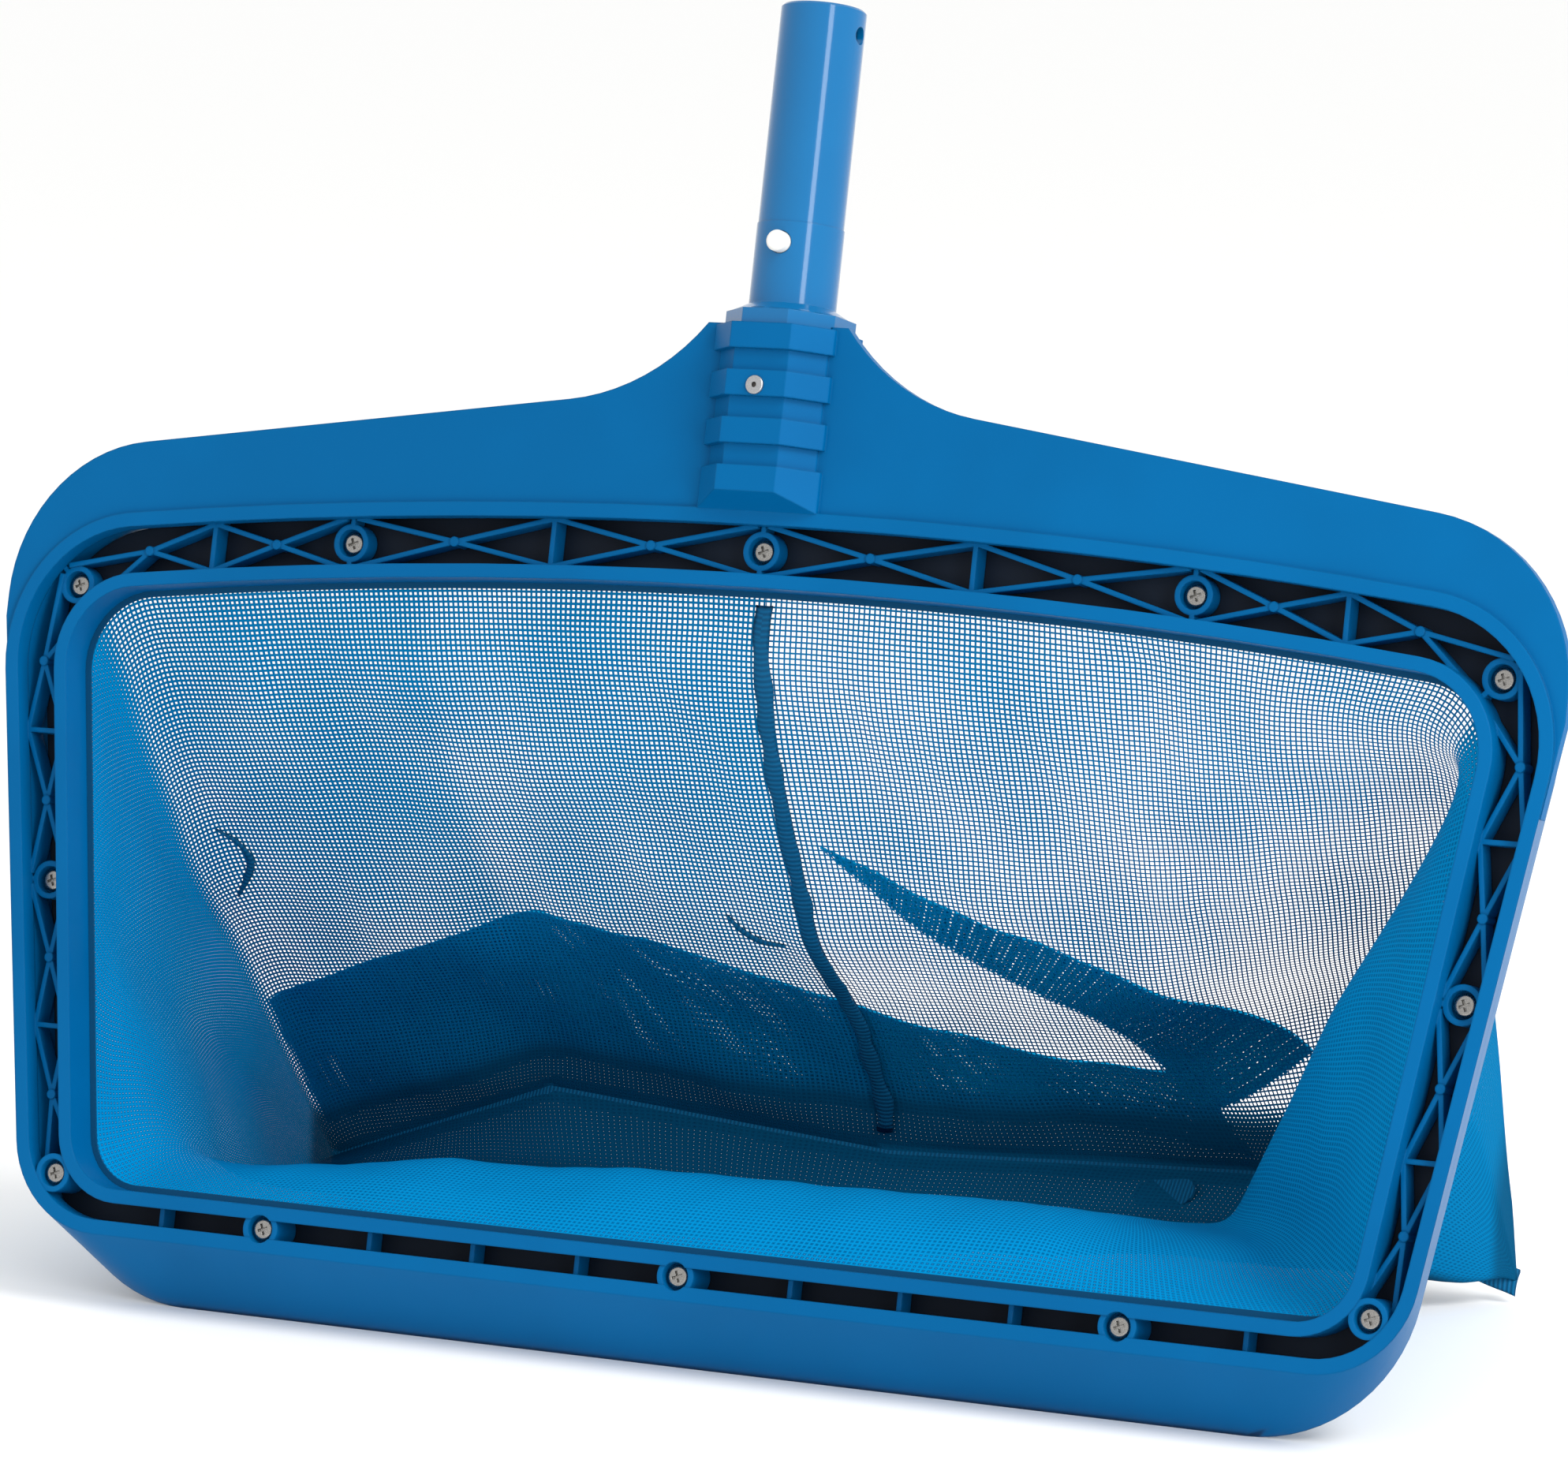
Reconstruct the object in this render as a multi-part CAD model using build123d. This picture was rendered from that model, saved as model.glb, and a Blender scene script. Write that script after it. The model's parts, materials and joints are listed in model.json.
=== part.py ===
from build123d import *

import math
import os
from dataclasses import dataclass

# Deep-bag leaf net head for a telescopic pool pole.
#
# The head is drawn upright and then leaned back onto its lower lip and the far
# end of its bag, the way it stands on a floor.  Drawing frame, in millimetres:
# X to the right, Y from the mouth into the bag, Z up the handle.  The rim crest
# lies in the plane Y = 0, and Z = 0 is the row of lower screws.

# ---------------------------------------------------------------- stance
LEAN = 14.0  # backward lean of the head, in degrees

# ---------------------------------------------------------------- mouth and rims
OPENING_LOW = 462.0  # clear width of the mouth at Z = 0
OPENING_HIGH = 528.0  # clear width of the mouth at the height of its arch
OPENING_BOTTOM = 7.6  # height of the lower edge of the mouth
OPENING_TOP = 227.0  # height of the crown of the mouth's arch
ARCH_RADIUS = 2110.0  # radius of the shallow arch over the mouth
OPENING_R_LOW = 20.0  # lower corner radius of the mouth
OPENING_R_HIGH = 26.0  # upper corner radius of the mouth
INNER_RIM = 4.7  # crest width of the inner rim
OUTER_RIM = 4.9  # crest width of the outer rim
CHANNEL_LOW = 11.8  # width of the ribbed channel at the sides, at Z = 0
CHANNEL_HIGH = 15.5  # width of the ribbed channel at the sides, at the height of the arch
CHANNEL_TOP = 16.2  # width of the ribbed channel under the hood
CHANNEL_BOTTOM = 6.2  # width of the ribbed channel over the lip
CHANNEL_R_LOW = 29.5  # lower corner radius of the channel's outer edge
CHANNEL_R_HIGH = 44.5  # upper corner radius of the channel's outer edge
CHANNEL_DEPTH = 13.5  # from the rim crest to the back of the inner rim
RIM_BAND_DEPTH = 7.0  # depth over which the outer rim keeps its full width

# ---------------------------------------------------------------- skirt and lip
SKIRT_DEPTH = 21.5  # from the rim crest to the back edge of the skirt
SKIRT_WALL = 2.6
SKIRT_DRAW_IN = 5.5  # how far the skirt's sides draw in over its depth
LIP_DROP = 22.0  # how far the lip's edge hangs below the outer rim
LIP_CORNER_R = 55.0

# ---------------------------------------------------------------- hood plate
HOOD_STEP = 1.5  # from the rim crest back to the hood's face
HOOD_THICKNESS = 4.0
HOOD_MARGIN = 21.0  # how far the hood reaches out past the mouth
HOOD_HALF_WIDTH = OPENING_HIGH / 2 + HOOD_MARGIN
HOOD_SHOULDER = 265.4  # height of the hood's sloping edge at its outer corner
HOOD_SLOPE = 7.8  # slope of the hood's upper edge, in degrees
HOOD_CORNER_R = 56.0
CORNER_SHARE = 0.95  # most that a corner may take up of a straight side
HOOD_ROOT_DROP = 20.0  # how far below the rim's corner arc the hood's sides end
NECK_HALF_WIDTH = 25.5
NECK_HEIGHT = 314.5
NECK_SCALLOP_R = 75.0

# ---------------------------------------------------------------- socket
AXIS_Y = 10.7  # the handle's axis, behind the rim crest
SOCKET_BOTTOM = 257.5
SOCKET_TOP = 313.5
SOCKET_ACROSS = 43.6  # across the flats of the socket's ridges
SOCKET_FRONT_FLAT = 21.8  # width of the flat that faces forward
GROOVE_DEPTH = 2.2
GROOVE_HEIGHT = 7.2
GROOVE_COUNT = 3
SOCKET_TAPER = 6.0  # height of the slanted foot under the socket

# ---------------------------------------------------------------- handle spigot
SPIGOT_RADIUS = 14.3
ROOT_RADIUS = 14.6  # the slightly fuller zone the pole's end comes to rest on
SPIGOT_WALL = 2.4
SPIGOT_TOP = 422.4
SPIGOT_CHAMFER = 0.8
COLLAR_ACROSS = 40.0
COLLAR_HEIGHT = 5.0
COLLAR_CONE = 3.0  # height of the sloping shoulder over the collar
COLLAR_CLEARANCE = 0.6
PLUG_RADIUS = 15.0
PLUG_LENGTH = 44.0
PLUG_CLEARANCE = 0.1
PLUG_END_GAP = 1.0  # room under the end of the plug
LOCK_HOLE_RADIUS = 3.0
LOCK_HOLE_HEIGHT = 413.5

# ---------------------------------------------------------------- snap clip
BUTTON_HEIGHT = 341.4
BUTTON_RADIUS = 3.6
BUTTON_CLEARANCE = 0.2
BUTTON_PROUD = 4.0  # how far a button stands out of the spigot
BUTTON_DOME = 1.3  # height of the button's rounded end
BUTTON_FLANGE_RADIUS = 4.8
BUTTON_FLANGE = 1.4
CLIP_WIDTH = 9.0
CLIP_THICKNESS = 1.4
CLIP_RISE = 58.0  # from the buttons to the bend of the clip
CLIP_TAIL = 7.0  # how far a leg runs past its button
CLIP_BEND = 4.2  # width of the clip across its bend
CLIP_BEND_R = 1.4
CLIP_GAP = 0.15
FLANGE_GAP = 0.5  # slack between a button's flange and the spigot's flat bore

# ---------------------------------------------------------------- screws and ribs
SCREW_RADIUS = 2.0
SCREW_HEAD_RADIUS = 3.9
SCREW_HEAD_HEIGHT = 2.6
SCREW_HEAD_ROUND = 1.4
RECESS_LENGTH = 3.9  # span of the cross recess in a screw's head
RECESS_WIDTH = 0.9
RECESS_DEPTH = 1.3
RECESS_TURN = 20.0  # how the cross recesses are turned, in degrees
UPPER_SCREW_LENGTH = 10.0
LOWER_SCREW_LENGTH = 16.0
UPPER_SEAT = 11.1  # depth of the screw seats along the top and the sides
LOWER_SEAT = 4.7  # depth of the screw seats along the bottom
POCKET_RADIUS = 4.7
BOSS_RADIUS = 6.6
BOSS_RISE = 4.2  # how far a boss stands in front of its screw seat
SCREW_CLEARANCE = 0.08
TOP_SCREW_PITCH = 154.7
LOW_SCREW_PITCH = 156.7
SIDE_SCREW_HEIGHT = 111.1
HIGH_CORNER_ANGLE = 41.0  # where the corner screws sit on their arcs, in degrees
LOW_CORNER_ANGLE = -36.0
RIB_THICKNESS = 1.7
RIB_DEPTH = 6.0  # from the rim crest to the front edge of the ribs
RIB_POST_RADIUS = 1.7
RIB_POST_RISE = 0.6  # how far a post stands in front of its ribs
RIB_ROOT = 1.5  # how far a rib runs into the rims at its ends

# ---------------------------------------------------------------- clamp ring and net
HEM_THICKNESS = 0.7
HEM_SPREAD = 3.2  # how far the hem runs under the clamp ring
CLAMP_THICKNESS = 3.0
CLAMP_INNER_GAP = 2.4  # room for the bag inside the clamp ring
CLAMP_OUTER_GAP = 0.9  # room between the clamp ring and the skirt
CLAMP_DROP = 4.0  # how far the clamp ring reaches down over the start of the lip
CLAMP_R_LOW = 24.0  # lower corner radius of the clamp ring
PILLAR_RADIUS = 3.6
PILLAR_END = 21.3  # depth at which the screw pillars of the clamp ring end
BAG_INSET = 0.8  # from the edge of the mouth to the outside of the bag
BAG_WALL = 1.2
BAG_DEPTH = 221.0  # depth of the far end of the bag behind the rim crest
BAG_END_WIDTH = 424.0
BAG_END_HEIGHT = 7.0
BAG_END_R = 3.0
BAG_END_CROWN = 0.2  # how much the far end's upper edge is arched
BAG_FLOOR_GAP = 0.4
SEAM_WIDTH = 6.0
SEAM_THICKNESS = 0.8
SEAM_GAP = 0.6  # from the flat inner face of the top panel, which its arch leaves
SEAM_START = 4.0
SEAM_STOP = 8.0  # how far short of the far end the seam and the tab stop
END_TAPE_THICKNESS = 1.4
END_TAPE_HEIGHT = 9.0
TAB_WIDTH = 12.0
TAB_LENGTH = 26.0
TAB_THICKNESS = 1.0
TAB_GAP = 0.8  # how much further than the seam the tab hangs below the top panel
TAB_PLACE = 102.0  # distance of the tab to the right of the middle

# ---------------------------------------------------------------- rivet
RIVET_RADIUS = 1.6
RIVET_HEAD_RADIUS = 3.2
RIVET_HEAD = 1.0
RIVET_HEIGHT = 292.6
RIVET_CLEARANCE = 0.05
RIVET_FLARE_RADIUS = 2.6
RIVET_FLARE = 2.2
RIVET_FLARE_GAP = 0.6  # from the bore of the plug to the flare
RIVET_ROUND = 0.6
MANDREL_RADIUS = 0.9
MANDREL_SINK = 0.2  # how far the broken stem lies below the rivet's seat
MANDREL_STOP = 0.8  # how far short of the rivet's end the stem stops

SCALLOP_TRIES = 600
SETTLING_STEPS = 12  # enough for a corner of a rim line to settle to a thousandth
REACH = 1000.0  # larger than the whole head, for trimming blocks


@dataclass(frozen=True)
class RimLine:
    """A closed line round the mouth: lower edge, leaning sides, arch and four rounded corners."""

    half_low: float
    half_high: float
    bottom: float
    top: float
    r_low: float
    r_high: float

    def slope(self):
        return (self.half_high - self.half_low) / OPENING_TOP

    def side(self, z):
        """Half-width of the straight side at height z."""
        return self.half_low + self.slope() * z

    def arch_centre(self):
        return OPENING_TOP - ARCH_RADIUS

    def arch(self, x):
        """Height of the arch at x."""
        radius = self.top - self.arch_centre()
        return self.arch_centre() + math.sqrt(radius**2 - x**2)

    def shoulder(self):
        """Where the side line meets the arch, before rounding."""
        z = self.top
        for _ in range(SETTLING_STEPS):
            z = self.arch(self.side(z))
        return self.side(z), z

    def low_corner(self):
        """Centre of the lower right corner arc."""
        z = self.bottom + self.r_low
        return self.side(z) - self.r_low * math.hypot(1.0, self.slope()), z

    def high_corner(self):
        """Centre of the upper right corner arc."""
        z = self.top - self.r_high
        for _ in range(SETTLING_STEPS):
            x = self.side(z) - self.r_high * math.hypot(1.0, self.slope())
            arc = self.top - self.arch_centre() - self.r_high
            z = self.arch_centre() + math.sqrt(arc**2 - x**2)
        return x, z

    def inset(self, distance, drop=0.0):
        """The parallel line a distance further in, with its corners kept concentric."""
        widen = distance * math.hypot(1.0, self.slope())
        return RimLine(
            self.half_low - widen,
            self.half_high - widen,
            self.bottom + distance - drop,
            self.top - distance,
            self.r_low - distance,
            self.r_high - distance,
        )

    def face(self):
        """The filled line as a sketch with x as X and y as Z."""
        low = self.side(self.bottom)
        high, rise = self.shoulder()
        edges = [
            Line((-low, self.bottom), (low, self.bottom)),
            Line((low, self.bottom), (high, rise)),
            ThreePointArc((high, rise), (0, self.top), (-high, rise)),
            Line((-high, rise), (-low, self.bottom)),
        ]
        sketch = make_face(edges)
        corners = sketch.vertices().group_by(Axis.Y)
        sketch = fillet(corners[0], self.r_low)
        tops = [v for v in sketch.vertices() if abs(v.X) > high - 0.01 and v.Y > rise - 0.01]
        return fillet(tops, self.r_high)


MOUTH = RimLine(
    OPENING_LOW / 2,
    OPENING_HIGH / 2,
    OPENING_BOTTOM,
    OPENING_TOP,
    OPENING_R_LOW,
    OPENING_R_HIGH,
)
INNER_EDGE = MOUTH.inset(-INNER_RIM)
CHANNEL_EDGE = RimLine(
    INNER_EDGE.half_low + CHANNEL_LOW,
    INNER_EDGE.half_high + CHANNEL_HIGH,
    OPENING_BOTTOM - INNER_RIM - CHANNEL_BOTTOM,
    OPENING_TOP + INNER_RIM + CHANNEL_TOP,
    CHANNEL_R_LOW,
    CHANNEL_R_HIGH,
)
OUTER_EDGE = CHANNEL_EDGE.inset(-OUTER_RIM)
SKIRT_EDGE = RimLine(
    OUTER_EDGE.half_low - SKIRT_DRAW_IN,
    OUTER_EDGE.half_high - SKIRT_DRAW_IN,
    OUTER_EDGE.bottom - LIP_DROP,
    OUTER_EDGE.top,
    LIP_CORNER_R,
    OUTER_EDGE.r_high,
)


# ================================================================ helpers
def on_upright(sketch, y):
    """A sketch with x as X and y as Z, placed in the plane Y = y."""
    return Plane(origin=(0, y, 0), x_dir=(1, 0, 0), z_dir=(0, -1, 0)) * sketch


def slab(sketch, front, back):
    """A sketch in X and Z made solid from Y = front to Y = back."""
    return extrude(on_upright(sketch, back), amount=back - front)


def tapered(line_front, line_back, front, back):
    """A solid whose outline changes evenly from one rim line to another."""
    return loft(
        [on_upright(line_front.face(), front), on_upright(line_back.face(), back)], ruled=True
    )


def peg(x, z, radius, front, back):
    """A round peg along Y."""
    return slab(Pos(x, z) * Circle(radius), front, back)


def upright_tube(radius, bottom, top):
    """A round bar on the handle's axis."""
    return Pos(0, AXIS_Y, bottom) * Cylinder(
        radius, top - bottom, align=(Align.CENTER, Align.CENTER, Align.MIN)
    )


def block(x0, x1, y0, y1, z0, z1):
    """A box between two corners."""
    return Pos((x0 + x1) / 2, (y0 + y1) / 2, (z0 + z1) / 2) * Box(x1 - x0, y1 - y0, z1 - z0)


def mirrored(shape):
    """A shape together with its mirror image in X."""
    return shape + mirror(shape, about=Plane.YZ)


# ================================================================ screw places
@dataclass(frozen=True)
class Station:
    """A place along the channel: a point on each side of it."""

    inner: tuple
    outer: tuple

    def middle(self):
        return (self.inner[0] + self.outer[0]) / 2, (self.inner[1] + self.outer[1]) / 2

    def shifted(self, other, distance):
        """The station a distance from this one towards another."""
        a, b = self.middle(), other.middle()
        share = distance / math.dist(a, b)
        return Station(
            between(self.inner, other.inner, share), between(self.outer, other.outer, share)
        )


def between(a, b, share):
    """The point a share of the way from a to b."""
    return a[0] + (b[0] - a[0]) * share, a[1] + (b[1] - a[1]) * share


def top_station(x):
    return Station((x, INNER_EDGE.arch(x)), (x, CHANNEL_EDGE.arch(x)))


def side_station(z):
    return Station((INNER_EDGE.side(z), z), (CHANNEL_EDGE.side(z), z))


def corner_station(high):
    """The station on a corner arc of the channel."""
    angle = math.radians(HIGH_CORNER_ANGLE if high else LOW_CORNER_ANGLE)
    ends = []
    for line in (INNER_EDGE, CHANNEL_EDGE):
        x, z = line.high_corner() if high else line.low_corner()
        r = line.r_high if high else line.r_low
        ends.append((x + r * math.cos(angle), z + r * math.sin(angle)))
    return Station(*ends)


def bottom_station(x):
    return Station((x, INNER_EDGE.bottom), (x, CHANNEL_EDGE.bottom))


TOP_MIDDLE = top_station(0.0)
TOP_OUTER = top_station(TOP_SCREW_PITCH)
HIGH_CORNER = corner_station(True)
SIDE_MIDDLE = side_station(SIDE_SCREW_HEIGHT)
LOW_CORNER = corner_station(False)
LOW_OUTER = bottom_station(LOW_SCREW_PITCH)
LOW_MIDDLE = bottom_station(0.0)


def screw_places():
    """Name, place and seat depth of each screw."""
    middle = [("top_middle", TOP_MIDDLE, UPPER_SEAT), ("bottom_middle", LOW_MIDDLE, LOWER_SEAT)]
    paired = [
        ("top", TOP_OUTER, UPPER_SEAT),
        ("top_corner", HIGH_CORNER, UPPER_SEAT),
        ("side", SIDE_MIDDLE, UPPER_SEAT),
        ("bottom_corner", LOW_CORNER, LOWER_SEAT),
        ("bottom", LOW_OUTER, LOWER_SEAT),
    ]
    places = [(name, *station.middle(), seat) for name, station, seat in middle]
    for name, station, seat in paired:
        x, z = station.middle()
        places.append((name + "_right", x, z, seat))
        places.append((name + "_left", -x, z, seat))
    return places


# ================================================================ front frame
def rib(a, b, front, back):
    """A straight thin wall between two points of the channel, rooted in both rims."""
    length = math.dist(a, b) + 2 * RIB_ROOT
    angle = math.degrees(math.atan2(b[1] - a[1], b[0] - a[0]))
    x, z = between(a, b, 0.5)
    return slab(Pos(x, z) * Rot(0, 0, angle) * Rectangle(length, RIB_THICKNESS), front, back)


def crossed_ribs(a, b, centre):
    """Four rib legs from a small post to the rims at two stations."""
    post = centre.middle()
    cross = peg(*post, RIB_POST_RADIUS, RIB_DEPTH - RIB_POST_RISE, CHANNEL_DEPTH)
    for end in (a.inner, a.outer, b.inner, b.outer):
        cross += rib(post, end, RIB_DEPTH, CHANNEL_DEPTH)
    return cross


def rib_bay(screw, wall, other_screw, along):
    """The ribs between two screws: a wall near the middle and a crossed pair on either side.

    along gives the channel's true station from the mean place of two others.
    """
    near = screw.shifted(wall, BOSS_RADIUS / 2)
    far = other_screw.shifted(wall, BOSS_RADIUS / 2)
    bay = rib(wall.inner, wall.outer, RIB_DEPTH, CHANNEL_DEPTH)
    for station in (screw, other_screw):
        bay += rib(station.inner, station.outer, UPPER_SEAT - BOSS_RISE, CHANNEL_DEPTH)
    for a, b in ((near, wall), (wall, far)):
        bay += crossed_ribs(a, b, along(a, b))
    return bay


def mean_top(a, b):
    return top_station((a.middle()[0] + b.middle()[0]) / 2)


def mean_side(a, b):
    return side_station((a.middle()[1] + b.middle()[1]) / 2)


def bottom_ribs():
    """Short straight ribs across the narrow channel over the lip."""
    quarter = LOW_SCREW_PITCH / 4
    places = [quarter, 2 * quarter, 3 * quarter, (LOW_SCREW_PITCH + LOW_CORNER.middle()[0]) / 2]
    ribs = [
        rib((x, INNER_EDGE.bottom), (x, CHANNEL_EDGE.bottom), RIB_DEPTH, CHANNEL_DEPTH)
        for x in places
    ]
    return sum(ribs[1:], ribs[0])


def channel_ribs():
    """Every rib of the channel."""
    near_wall = top_station(TOP_SCREW_PITCH / 2)
    far_wall = top_station((TOP_SCREW_PITCH + HIGH_CORNER.middle()[0]) / 2)
    high_wall = side_station((SIDE_SCREW_HEIGHT + HIGH_CORNER.middle()[1]) / 2)
    low_wall = side_station((SIDE_SCREW_HEIGHT + LOW_CORNER.middle()[1]) / 2)
    bays = rib_bay(TOP_MIDDLE, near_wall, TOP_OUTER, mean_top)
    bays += rib_bay(TOP_OUTER, far_wall, HIGH_CORNER, mean_top)
    bays += rib_bay(HIGH_CORNER, high_wall, SIDE_MIDDLE, mean_side)
    bays += rib_bay(SIDE_MIDDLE, low_wall, LOW_CORNER, mean_side)
    return mirrored(bays + bottom_ribs())


def outer_shell():
    """The outer rim band and the skirt with its lip, open at the back."""
    inside_front = OUTER_EDGE.inset(SKIRT_WALL)
    inside_back = SKIRT_EDGE.inset(SKIRT_WALL, drop=SKIRT_WALL)
    shell = tapered(OUTER_EDGE, SKIRT_EDGE, 0.0, SKIRT_DEPTH)
    hollow = tapered(inside_front, inside_back, 0.0, SKIRT_DEPTH)
    hollow &= block(-REACH, REACH, RIM_BAND_DEPTH, REACH, -REACH, REACH)
    shell -= slab(CHANNEL_EDGE.face(), 0.0, RIM_BAND_DEPTH)
    return shell - hollow


def inner_rim():
    return slab(INNER_EDGE.face() - MOUTH.face(), 0.0, CHANNEL_DEPTH)


def scallop_centre():
    """Centre of the arc that runs from the neck's corner into the hood's sloping edge."""
    slope = math.radians(HOOD_SLOPE)
    shoulder_x = HOOD_HALF_WIDTH - HOOD_CORNER_R
    best = None
    for step in range(SCALLOP_TRIES):
        x = NECK_HALF_WIDTH + step * shoulder_x / SCALLOP_TRIES
        z = HOOD_SHOULDER + (shoulder_x - x) * math.tan(slope)
        centre = (x + NECK_SCALLOP_R * math.sin(slope), z + NECK_SCALLOP_R * math.cos(slope))
        miss = abs(math.dist(centre, (NECK_HALF_WIDTH, NECK_HEIGHT)) - NECK_SCALLOP_R)
        if best is None or miss < best[0]:
            best = (miss, centre, (x, z))
    return best[1], best[2]


def hood_foot():
    """Height at which the hood's upright sides run into the leaning rim."""
    return (HOOD_HALF_WIDTH - OUTER_EDGE.half_low) / OUTER_EDGE.slope()


def hood_root():
    """Height at which the hood's sides, having followed the rim down, end inside it."""
    return OUTER_EDGE.high_corner()[1] - HOOD_ROOT_DROP


def hood_corner(corner_z):
    """The hood's corner radius, or as much of it as its upright sides have room for."""
    turn = math.radians(90.0 - HOOD_SLOPE) / 2
    room = (corner_z - hood_foot()) / math.tan(turn)
    return min(HOOD_CORNER_R, CORNER_SHARE * room)


def hood_outline():
    """Half of the hood plate's outline, from the neck down to the rim."""
    slope = math.tan(math.radians(HOOD_SLOPE))
    (cx, cz), (tx, tz) = scallop_centre()
    corner_z = HOOD_SHOULDER - HOOD_CORNER_R * slope
    points = [
        (0, hood_root()),
        (OUTER_EDGE.side(hood_root()), hood_root()),
        (HOOD_HALF_WIDTH, hood_foot()),
        (HOOD_HALF_WIDTH, corner_z),
        (tx, tz),
        (NECK_HALF_WIDTH, NECK_HEIGHT),
        (0, NECK_HEIGHT),
    ]
    plate = make_face(Polyline(*points, close=True))
    corner = plate.vertices().sort_by_distance((HOOD_HALF_WIDTH, corner_z))[0]
    plate = fillet(corner, hood_corner(corner_z))
    return plate - Pos(cx, cz) * Circle(NECK_SCALLOP_R)


def hood():
    """The flat hood plate between the rim and the neck."""
    half = hood_outline()
    plate = half + mirror(half, about=Plane.YZ)
    return slab(plate - CHANNEL_EDGE.face(), HOOD_STEP, HOOD_STEP + HOOD_THICKNESS)


def octagon(across, front_flat):
    """An octagon with flats of a given width to the front and back."""
    half = across / 2
    flat = front_flat / 2
    quarter = [(flat, -half), (half, -flat), (half, flat), (flat, half)]
    points = quarter + [(-x, y) for x, y in reversed(quarter)]
    return make_face(Polyline(*points, close=True))


def octagon_bar(across, front_flat, bottom, top):
    """An eight-sided bar on the handle's axis."""
    return Pos(0, AXIS_Y, bottom) * extrude(octagon(across, front_flat), amount=top - bottom)


def socket():
    """The ridged eight-sided socket, solid until its bore is cut."""
    body = octagon_bar(SOCKET_ACROSS, SOCKET_FRONT_FLAT, SOCKET_BOTTOM, SOCKET_TOP)
    pitch = (SOCKET_TOP - SOCKET_BOTTOM + GROOVE_HEIGHT) / (GROOVE_COUNT + 1)
    core = octagon_bar(
        SOCKET_ACROSS - 2 * GROOVE_DEPTH,
        SOCKET_FRONT_FLAT - 2 * GROOVE_DEPTH * math.tan(math.radians(22.5)),
        SOCKET_BOTTOM,
        SOCKET_TOP,
    )
    for n in range(GROOVE_COUNT):
        top = SOCKET_BOTTOM + (n + 1) * pitch
        body -= block(-REACH, REACH, -REACH, REACH, top - GROOVE_HEIGHT, top)
    return body + core + socket_foot()


def socket_foot():
    """The slanted foot that carries the socket down to the hood's face."""
    half = SOCKET_ACROSS / 2
    front = AXIS_Y - half
    back = HOOD_STEP + HOOD_THICKNESS
    points = [
        (front, SOCKET_BOTTOM),
        (back, SOCKET_BOTTOM),
        (back, SOCKET_BOTTOM - SOCKET_TAPER),
        (HOOD_STEP, SOCKET_BOTTOM - SOCKET_TAPER),
    ]
    wedge = make_face(Polyline(*points, close=True))
    wedge = extrude(Plane.YZ.offset(-half) * wedge, amount=SOCKET_ACROSS)
    bar = octagon_bar(SOCKET_ACROSS, SOCKET_FRONT_FLAT, SOCKET_BOTTOM - SOCKET_TAPER, SOCKET_BOTTOM)
    return wedge & bar


def boss(x, z, seat):
    """A round screw boss with a pocket for the head and a hole for the shank."""
    front = seat - BOSS_RISE
    solid = peg(x, z, BOSS_RADIUS, front, CHANNEL_DEPTH)
    solid -= peg(x, z, POCKET_RADIUS, front, seat)
    return solid - peg(x, z, SCREW_RADIUS + SCREW_CLEARANCE, seat, CHANNEL_DEPTH)


def boss_core(x, z, seat):
    """The space that a boss keeps clear of ribs and rims."""
    hole = peg(x, z, SCREW_RADIUS + SCREW_CLEARANCE, 0.0, CHANNEL_DEPTH)
    return hole + peg(x, z, POCKET_RADIUS, 0.0, seat)


def mouth_space():
    """The open mouth, which no rib or boss may enter."""
    return slab(MOUTH.face(), -REACH, CHANNEL_DEPTH)


def front_frame():
    """The one-piece moulding: rims, ribs, bosses, skirt, hood and socket."""
    frame = outer_shell() + inner_rim() + hood() + socket()
    within = slab(OUTER_EDGE.inset(SKIRT_WALL).face(), 0.0, CHANNEL_DEPTH)
    frame += channel_ribs() & within
    for _, x, z, seat in screw_places():
        frame += boss(x, z, seat) & within
    for _, x, z, seat in screw_places():
        frame -= boss_core(x, z, seat)
    frame -= mouth_space()
    frame -= octagon_bar(
        COLLAR_ACROSS + COLLAR_CLEARANCE, regular_flat(COLLAR_ACROSS), SOCKET_TOP, REACH
    )
    frame -= upright_tube(PLUG_RADIUS + PLUG_CLEARANCE, SOCKET_TOP - PLUG_LENGTH - PLUG_END_GAP, REACH)
    return frame - rivet_hole()


# ================================================================ clamp ring and screws
def clamp_edge(depth):
    """The outline of the clamp ring, clear of the skirt at a given depth."""
    gap = SKIRT_WALL + CLAMP_OUTER_GAP
    draw = SKIRT_DRAW_IN * depth / SKIRT_DEPTH
    return RimLine(
        OUTER_EDGE.half_low - gap - draw,
        OUTER_EDGE.half_high - gap - draw,
        OUTER_EDGE.bottom + gap - CLAMP_DROP,
        OUTER_EDGE.top - gap,
        CLAMP_R_LOW,
        CHANNEL_R_HIGH,
    )


def clamp_ring():
    """The dark ring that clamps the hem of the bag, with a pillar for each screw."""
    front = CHANNEL_DEPTH + HEM_THICKNESS
    back = front + CLAMP_THICKNESS
    inner = MOUTH.inset(-CLAMP_INNER_GAP)
    ring = slab(clamp_edge(back).face(), front, back)
    for _, x, z, _seat in screw_places():
        ring += peg(x, z, PILLAR_RADIUS, front, PILLAR_END)
    ring -= slab(inner.face(), 0.0, REACH)
    for _, x, z, _seat in screw_places():
        ring -= peg(x, z, SCREW_RADIUS + SCREW_CLEARANCE, 0.0, REACH)
    return ring


def cross_recess(seat, x, z):
    """The cross recess in a screw's head."""
    front = seat - SCREW_HEAD_HEIGHT
    slot = Rectangle(RECESS_LENGTH, RECESS_WIDTH) + Rectangle(RECESS_WIDTH, RECESS_LENGTH)
    return slab(Pos(x, z) * Rot(0, 0, RECESS_TURN) * slot, 0.0, front + RECESS_DEPTH)


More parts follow.
